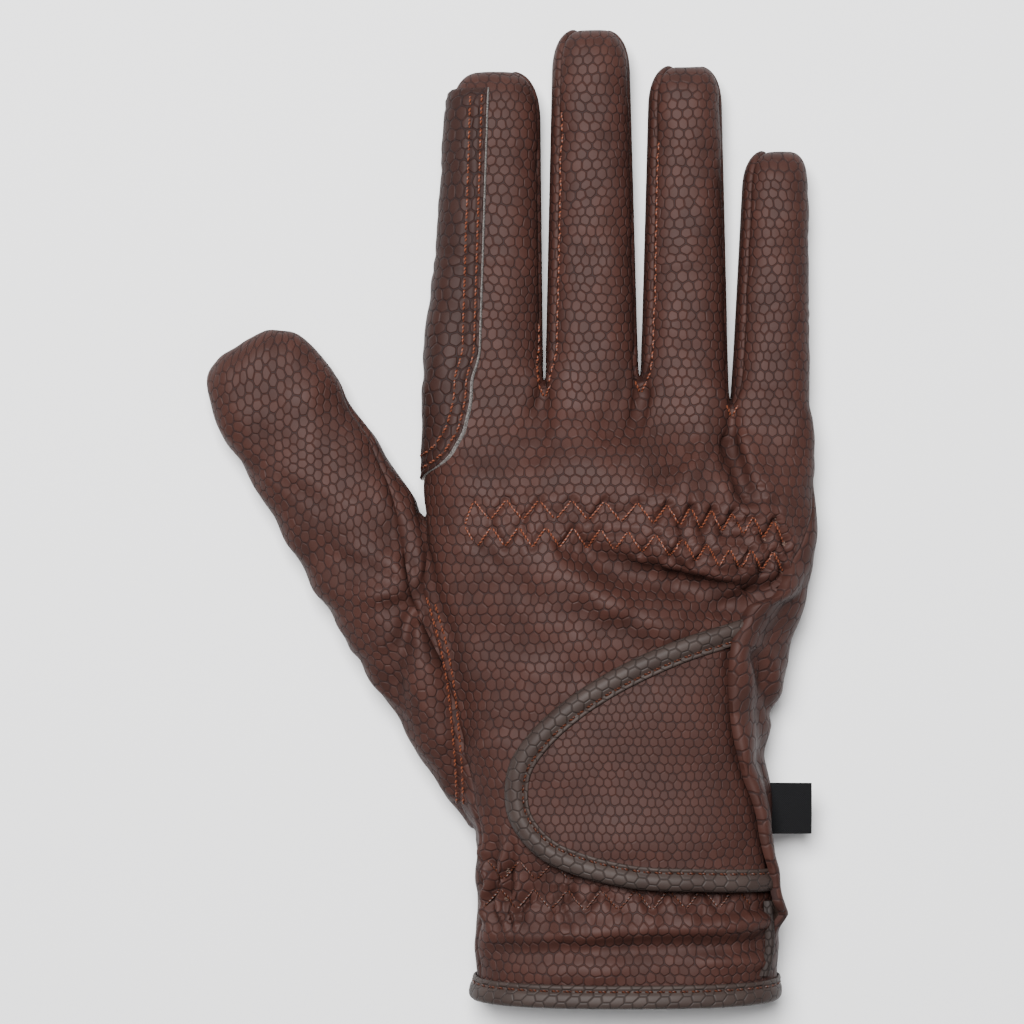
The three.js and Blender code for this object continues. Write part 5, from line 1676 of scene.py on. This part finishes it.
class GLOVE_OT_panels(bpy.types.Operator):
    """Makes the back and the palm of the hand and fingers"""

    bl_idname = "glove.panels"
    bl_label = "Back and palm"

    def execute(self, context):
        leather, lining = material("back_leather"), material("lining")
        back = walled("back_leather_panel", back_sheet(), leather, lining)
        settle(back, "leather", "back_panel")
        palm = walled("palm_leather_panel", palm_sheet(), material("palm_leather"), lining)
        settle(palm, "leather", "palm_panel")
        return {"FINISHED"}


class GLOVE_OT_fourchettes(bpy.types.Operator):
    """Makes the strips between the fingers"""

    bl_idname = "glove.fourchettes"
    bl_label = "Finger strips"

    def execute(self, context):
        fingers = ("index", "middle", "ring", "little")
        leather, lining = material("back_leather"), material("lining")
        for i, (finger, other) in enumerate(zip(fingers, fingers[1:])):
            strip = walled(f"{finger}_{other}_strip", strip_sheet(i), leather, lining)
            settle(strip, "leather", f"fourchette_{finger}_{other}")
        return {"FINISHED"}


class GLOVE_OT_thumb(bpy.types.Operator):
    """Makes the two leather pieces of the thumb"""

    bl_idname = "glove.thumb"
    bl_label = "Thumb"

    def execute(self, context):
        leather, lining = material("back_leather"), material("lining")
        thumb = walled("thumb_leather", thumb_sheet(True), leather, lining)
        settle(thumb, "leather", "thumb_outer")
        gusset = walled("thumb_side_leather", thumb_sheet(False), leather, lining)
        settle(gusset, "leather", "thumb_gusset")
        return {"FINISHED"}


class GLOVE_OT_patch(bpy.types.Operator):
    """Makes the wear patch over the index finger's side, with its raw cut edge"""

    bl_idname = "glove.patch"
    bl_label = "Wear patch"

    def execute(self, context):
        sheet = patch_sheet()
        rows, columns = sheet.grid.shape
        row, place = np.divmod(np.arange((rows - 1) * (columns - 1)), columns - 1)
        raw = (row < RAW_EDGE) | (place >= columns - 1 - RAW_EDGE)
        finishes = (material(name) for name in ("patch_embossed", "lining", "cut_edge"))
        settle(walled("wear_patch", sheet, *finishes, raw), "patch_leather", "index_patch")
        return {"FINISHED"}


class GLOVE_OT_tab(bpy.types.Operator):
    """Makes the closing tab and its binding, and finishes its hook pad"""

    bl_idname = "glove.tab"
    bl_label = "Closing tab"

    def execute(self, context):
        sheet = tab_sheet()
        tab = settle(walled("tab_leather", sheet, material("fine_leather"), material("lining")),
                     "leather", "closing_tab")
        a, b, c, d = (sheet.points[sheet.quads[:, k]] for k in range(4))
        area = np.linalg.norm(np.cross(c - a, d - b), axis=1).sum() / 2 * METRE**2
        rings, run = tab_binding_rings()
        binding = strip_object("tab_edge_binding", rings, section_run(TAB_BINDING_SECTION), run, False,
                               [material("binding_leather")])
        settle(binding, "binding", "tab_binding")
        pad = bpy.data.objects["tab_fastener"]
        pad.data.materials.clear()
        pad.data.materials.append(material("hook_pad_black"))
        return {"FINISHED"}


class GLOVE_OT_bindings(bpy.types.Operator):
    """Makes the bindings of the hem and of the vent"""

    bl_idname = "glove.bindings"
    bl_label = "Bindings"

    def execute(self, context):
        rings = hem_rings()
        run = along_line(rings[:, HEM_TOP])
        hem = strip_object("hem_edge_binding", rings, section_run(HEM_SECTION), run, True,
                           [material("binding_leather")])
        settle(hem, "binding", "hem_binding")
        rings = vent_rings()
        vent = strip_object("vent_edge_binding", rings, along_line(rings[0]), rings[:, 0, 1], False,
                            [material("vent_leather")])
        settle(vent, "binding", "vent_binding")
        return {"FINISHED"}


LABEL_WAVE = 0.0007  # how far the label's folded end is bent up
LABEL_BEND = 2.2  # radians of a wave across it
LABEL_DROOP = 0.0002  # how far the folded end hangs down
LABEL_SHARP = math.radians(40)
LABEL_SEGMENTS, LABEL_CUTS = 6, 3  # of its folded end, and of each of its edges


class GLOVE_OT_label(bpy.types.Operator):
    """Makes the plain folded label at the outer seam"""

    bl_idname = "glove.label"
    bl_label = "Label"

    def execute(self, context):
        look = context.scene.glove_label
        low, high = (np.array(corner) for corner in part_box("side_label"))
        bpy.ops.object.select_all(action="DESELECT")
        bpy.ops.mesh.primitive_cube_add(size=1, location=(low + high) / 2)
        label = context.object
        label.name = "woven_label"
        label.scale = high - low
        bpy.ops.object.transform_apply(location=True, rotation=False, scale=True)
        bpy.ops.object.mode_set(mode="EDIT")
        mesh = bmesh.from_edit_mesh(label.data)
        nothing = 1e-6
        for edge in mesh.edges:
            start, stop = (vert.co for vert in edge.verts)
            folded = min(start.x, stop.x) > high[0] - nothing
            edge.select_set(folded and abs(start.y - stop.y) > nothing)
        bmesh.update_edit_mesh(label.data)
        bpy.ops.mesh.bevel(offset=look.fold, segments=LABEL_SEGMENTS)
        bpy.ops.mesh.select_all(action="SELECT")
        bpy.ops.mesh.subdivide(number_cuts=LABEL_CUTS)
        bpy.ops.object.mode_set(mode="OBJECT")
        for vert in label.data.vertices:
            share = (vert.co.x - low[0]) / (high[0] - low[0])
            across = (vert.co.y - low[1]) / (high[1] - low[1])
            vert.co.z += LABEL_WAVE * share**2 * math.sin(LABEL_BEND * across) - LABEL_DROOP * share
        layer = label.data.uv_layers.new(name="pattern")
        for loop in label.data.loops:
            layer.data[loop.index].uv = label.data.vertices[loop.vertex_index].co.xy
        label.data.materials.append(material("label_cloth"))
        bpy.ops.object.shade_smooth_by_angle(angle=LABEL_SHARP)
        settle(label, "label", "side_label")
        return {"FINISHED"}


class GLOVE_OT_stitches(bpy.types.Operator):
    """Sews the seams, the gathered rows of the back and the bindings"""

    bl_idname = "glove.stitches"
    bl_label = "Stitches"

    def execute(self, context):
        look = context.scene.glove_thread
        stitch, gap = look.stitch / METRE, look.gap / METRE
        back = back_sheet()
        trees = [back.tree(), palm_sheet().tree()]

        rows = Spool()
        for row in (UPPER_ROW, LOWER_ROW):
            for start, stop in zip(row, row[1:]):
                rows.lay(*over(trees, start, stop))
        for start, stop in zip(ROW_TURN[::TURN_STEP], ROW_TURN[TURN_STEP::TURN_STEP]):
            rows.lay(*over(trees, start, stop, SHORT_STITCH_RINGS))
        settle(rows.wind("gathering_thread"), None)
        # the wrist rows are wound in the darker copy of the thread: painted shade
        wrist_rows = Spool()
        for row in (WRIST_UPPER_ROW, WRIST_LOWER_ROW):
            for start, stop in zip(row, row[1:]):
                wrist_rows.lay(*over(trees, start, stop))
        settle(wrist_rows.wind("wrist_thread", "dark_rust_thread"), None)

        seams = Spool()
        for name in ("middle", "ring", "index"):
            seams.sew(*back.lines[name], stitch, gap, FINGER_SEAM_START)
        sides = [*trees, thumb_sheet(True).tree()]
        path = catmull_rom(HAND_SEAM, 12)
        for aside in THUMB_SEAM_ASIDE:
            plan = path + (aside, 0)
            line = np.vstack([over(sides, start, stop, 2)[0][:1] for start, stop in zip(plan, plan[1:])])
            seams.sew(line, np.tile(THUMB_SEAM_UP, (len(line), 1)), stitch, gap)
        for x, y in FINGER_GAPS:
            for side in (-1, 1):
                start, stop = ((x + side * aside, y + above) for aside, above in GAP_STITCH)
                seams.lay(*over(trees, start, stop, SHORT_STITCH_RINGS))
        settle(seams.wind("seam_thread"), None)

        patch = patch_sheet()
        patch_thread = Spool()
        for inset in PATCH_SEAMS:
            patch_thread.sew(*patch_line(patch, inset), stitch * PATCH_STITCH, gap)
        settle(patch_thread.wind("patch_thread"), None)

        # the bindings' stitches are wound in the darker copy of the thread: painted shade
        edging = Spool()
        rings, _ = tab_binding_rings()
        edging.sew(*groove_line(rings, GROOVE), *TAB_SEWING)
        rings = hem_rings()
        edging.sew(*groove_line(np.concatenate([rings, rings[:1]]), GROOVE), *HEM_SEWING)
        settle(edging.wind("binding_thread", "dark_rust_thread"), None)
        return {"FINISHED"}


FLOOR_GAP = 0.0002  # how far the floor lies under the glove
KEY_PLACE, KEY_SIZE = (-0.12, 0.28, 0.95), 0.42
FILL_PLACE, FILL_SIZE = (0.55, -0.45, 0.8), 0.9
SENSOR = 36.0  # width of the camera's sensor in millimetres
MIDDLE_HEIGHT = 0.015  # height of the glove that fills the framed height


class GLOVE_OT_stage(bpy.types.Operator):
    """Makes the floor, the lights and the camera"""

    bl_idname = "glove.stage"
    bl_label = "Stage"

    def execute(self, context):
        look = context.scene.glove_stage
        bpy.ops.object.select_all(action="DESELECT")
        bpy.ops.mesh.primitive_plane_add(size=look.floor, location=(0, 0, -FLOOR_GAP))
        floor = context.object
        floor.name = "floor"
        shader = Shader("pale_floor")
        place = shader.node("ShaderNodeTexCoord", None, None, "Object")
        cloud = shader.noise(place, 0.4, 2.0)
        colour = shader.blend(cloud, toned(look.floor_colour, 0.98), tuple(look.floor_colour))
        shader.set(Base_Color=colour, Roughness=0.9)
        floor.data.materials.append(shader.material)
        for name, place, size, power in (
            ("key_light", KEY_PLACE, KEY_SIZE, look.key),
            ("fill_light", FILL_PLACE, FILL_SIZE, look.fill),
        ):
            bpy.ops.object.light_add(type="AREA", location=place)
            light = context.object
            light.name = name
            light.data.size = size
            light.data.energy = power
            light.rotation_euler = (-Vector(place)).to_track_quat("-Z", "Y").to_euler()
        world = bpy.data.worlds.new("pale_surround")
        world.use_nodes = True
        even = world.node_tree.nodes["Background"].inputs
        even["Color"].default_value = (1, 1, 1, 1)
        even["Strength"].default_value = look.surround
        context.scene.world = world
        away = look.height * look.lens / SENSOR
        bpy.ops.object.camera_add(location=(0, 0, MIDDLE_HEIGHT + away), rotation=(0, 0, 0))
        camera = context.object
        camera.name = "photo_camera"
        camera.data.lens = look.lens
        camera.data.sensor_width = SENSOR
        context.scene.camera = camera
        return {"FINISHED"}


class GLOVE_PT_panel(bpy.types.Panel):
    """Shows the glove's settings, and its operators in the order in which they are run"""

    bl_idname = "GLOVE_PT_panel"
    bl_label = "Riding glove"
    bl_space_type = "VIEW_3D"
    bl_region_type = "UI"
    bl_category = "Glove"

    def draw(self, context):
        for group in ("glove_leather", "glove_thread", "glove_label", "glove_stage"):
            settings = getattr(context.scene, group)
            box = self.layout.box()
            for name in settings.__annotations__:
                box.prop(settings, name)
        for operator in OPERATORS:
            self.layout.operator(operator.bl_idname)


OPERATORS = (
    GLOVE_OT_stage, GLOVE_OT_panels, GLOVE_OT_fourchettes, GLOVE_OT_thumb, GLOVE_OT_patch, GLOVE_OT_tab,
    GLOVE_OT_bindings, GLOVE_OT_label, GLOVE_OT_stitches,
)
SETTINGS = {"glove_leather": GloveLeather, "glove_thread": GloveThread, "glove_label": GloveLabel,
            "glove_stage": GloveStage}


def register():
    for kind in (*SETTINGS.values(), *OPERATORS, GLOVE_PT_panel):
        bpy.utils.register_class(kind)
    for name, kind in SETTINGS.items():
        setattr(bpy.types.Scene, name, bpy.props.PointerProperty(type=kind))


def unregister():
    for name in SETTINGS:
        delattr(bpy.types.Scene, name)
    for kind in (GLOVE_PT_panel, *reversed(OPERATORS), *reversed(SETTINGS.values())):
        bpy.utils.unregister_class(kind)


def plain(box):
    return [[float(value) for value in corner] for corner in box]


def main():
    register()
    bpy.ops.glove.stage()
    bpy.ops.glove.panels()
    bpy.ops.glove.fourchettes()
    bpy.ops.glove.thumb()
    bpy.ops.glove.patch()
    bpy.ops.glove.tab()
    bpy.ops.glove.bindings()
    bpy.ops.glove.label()
    bpy.ops.glove.stitches()


if __name__ == "__main__":
    main()
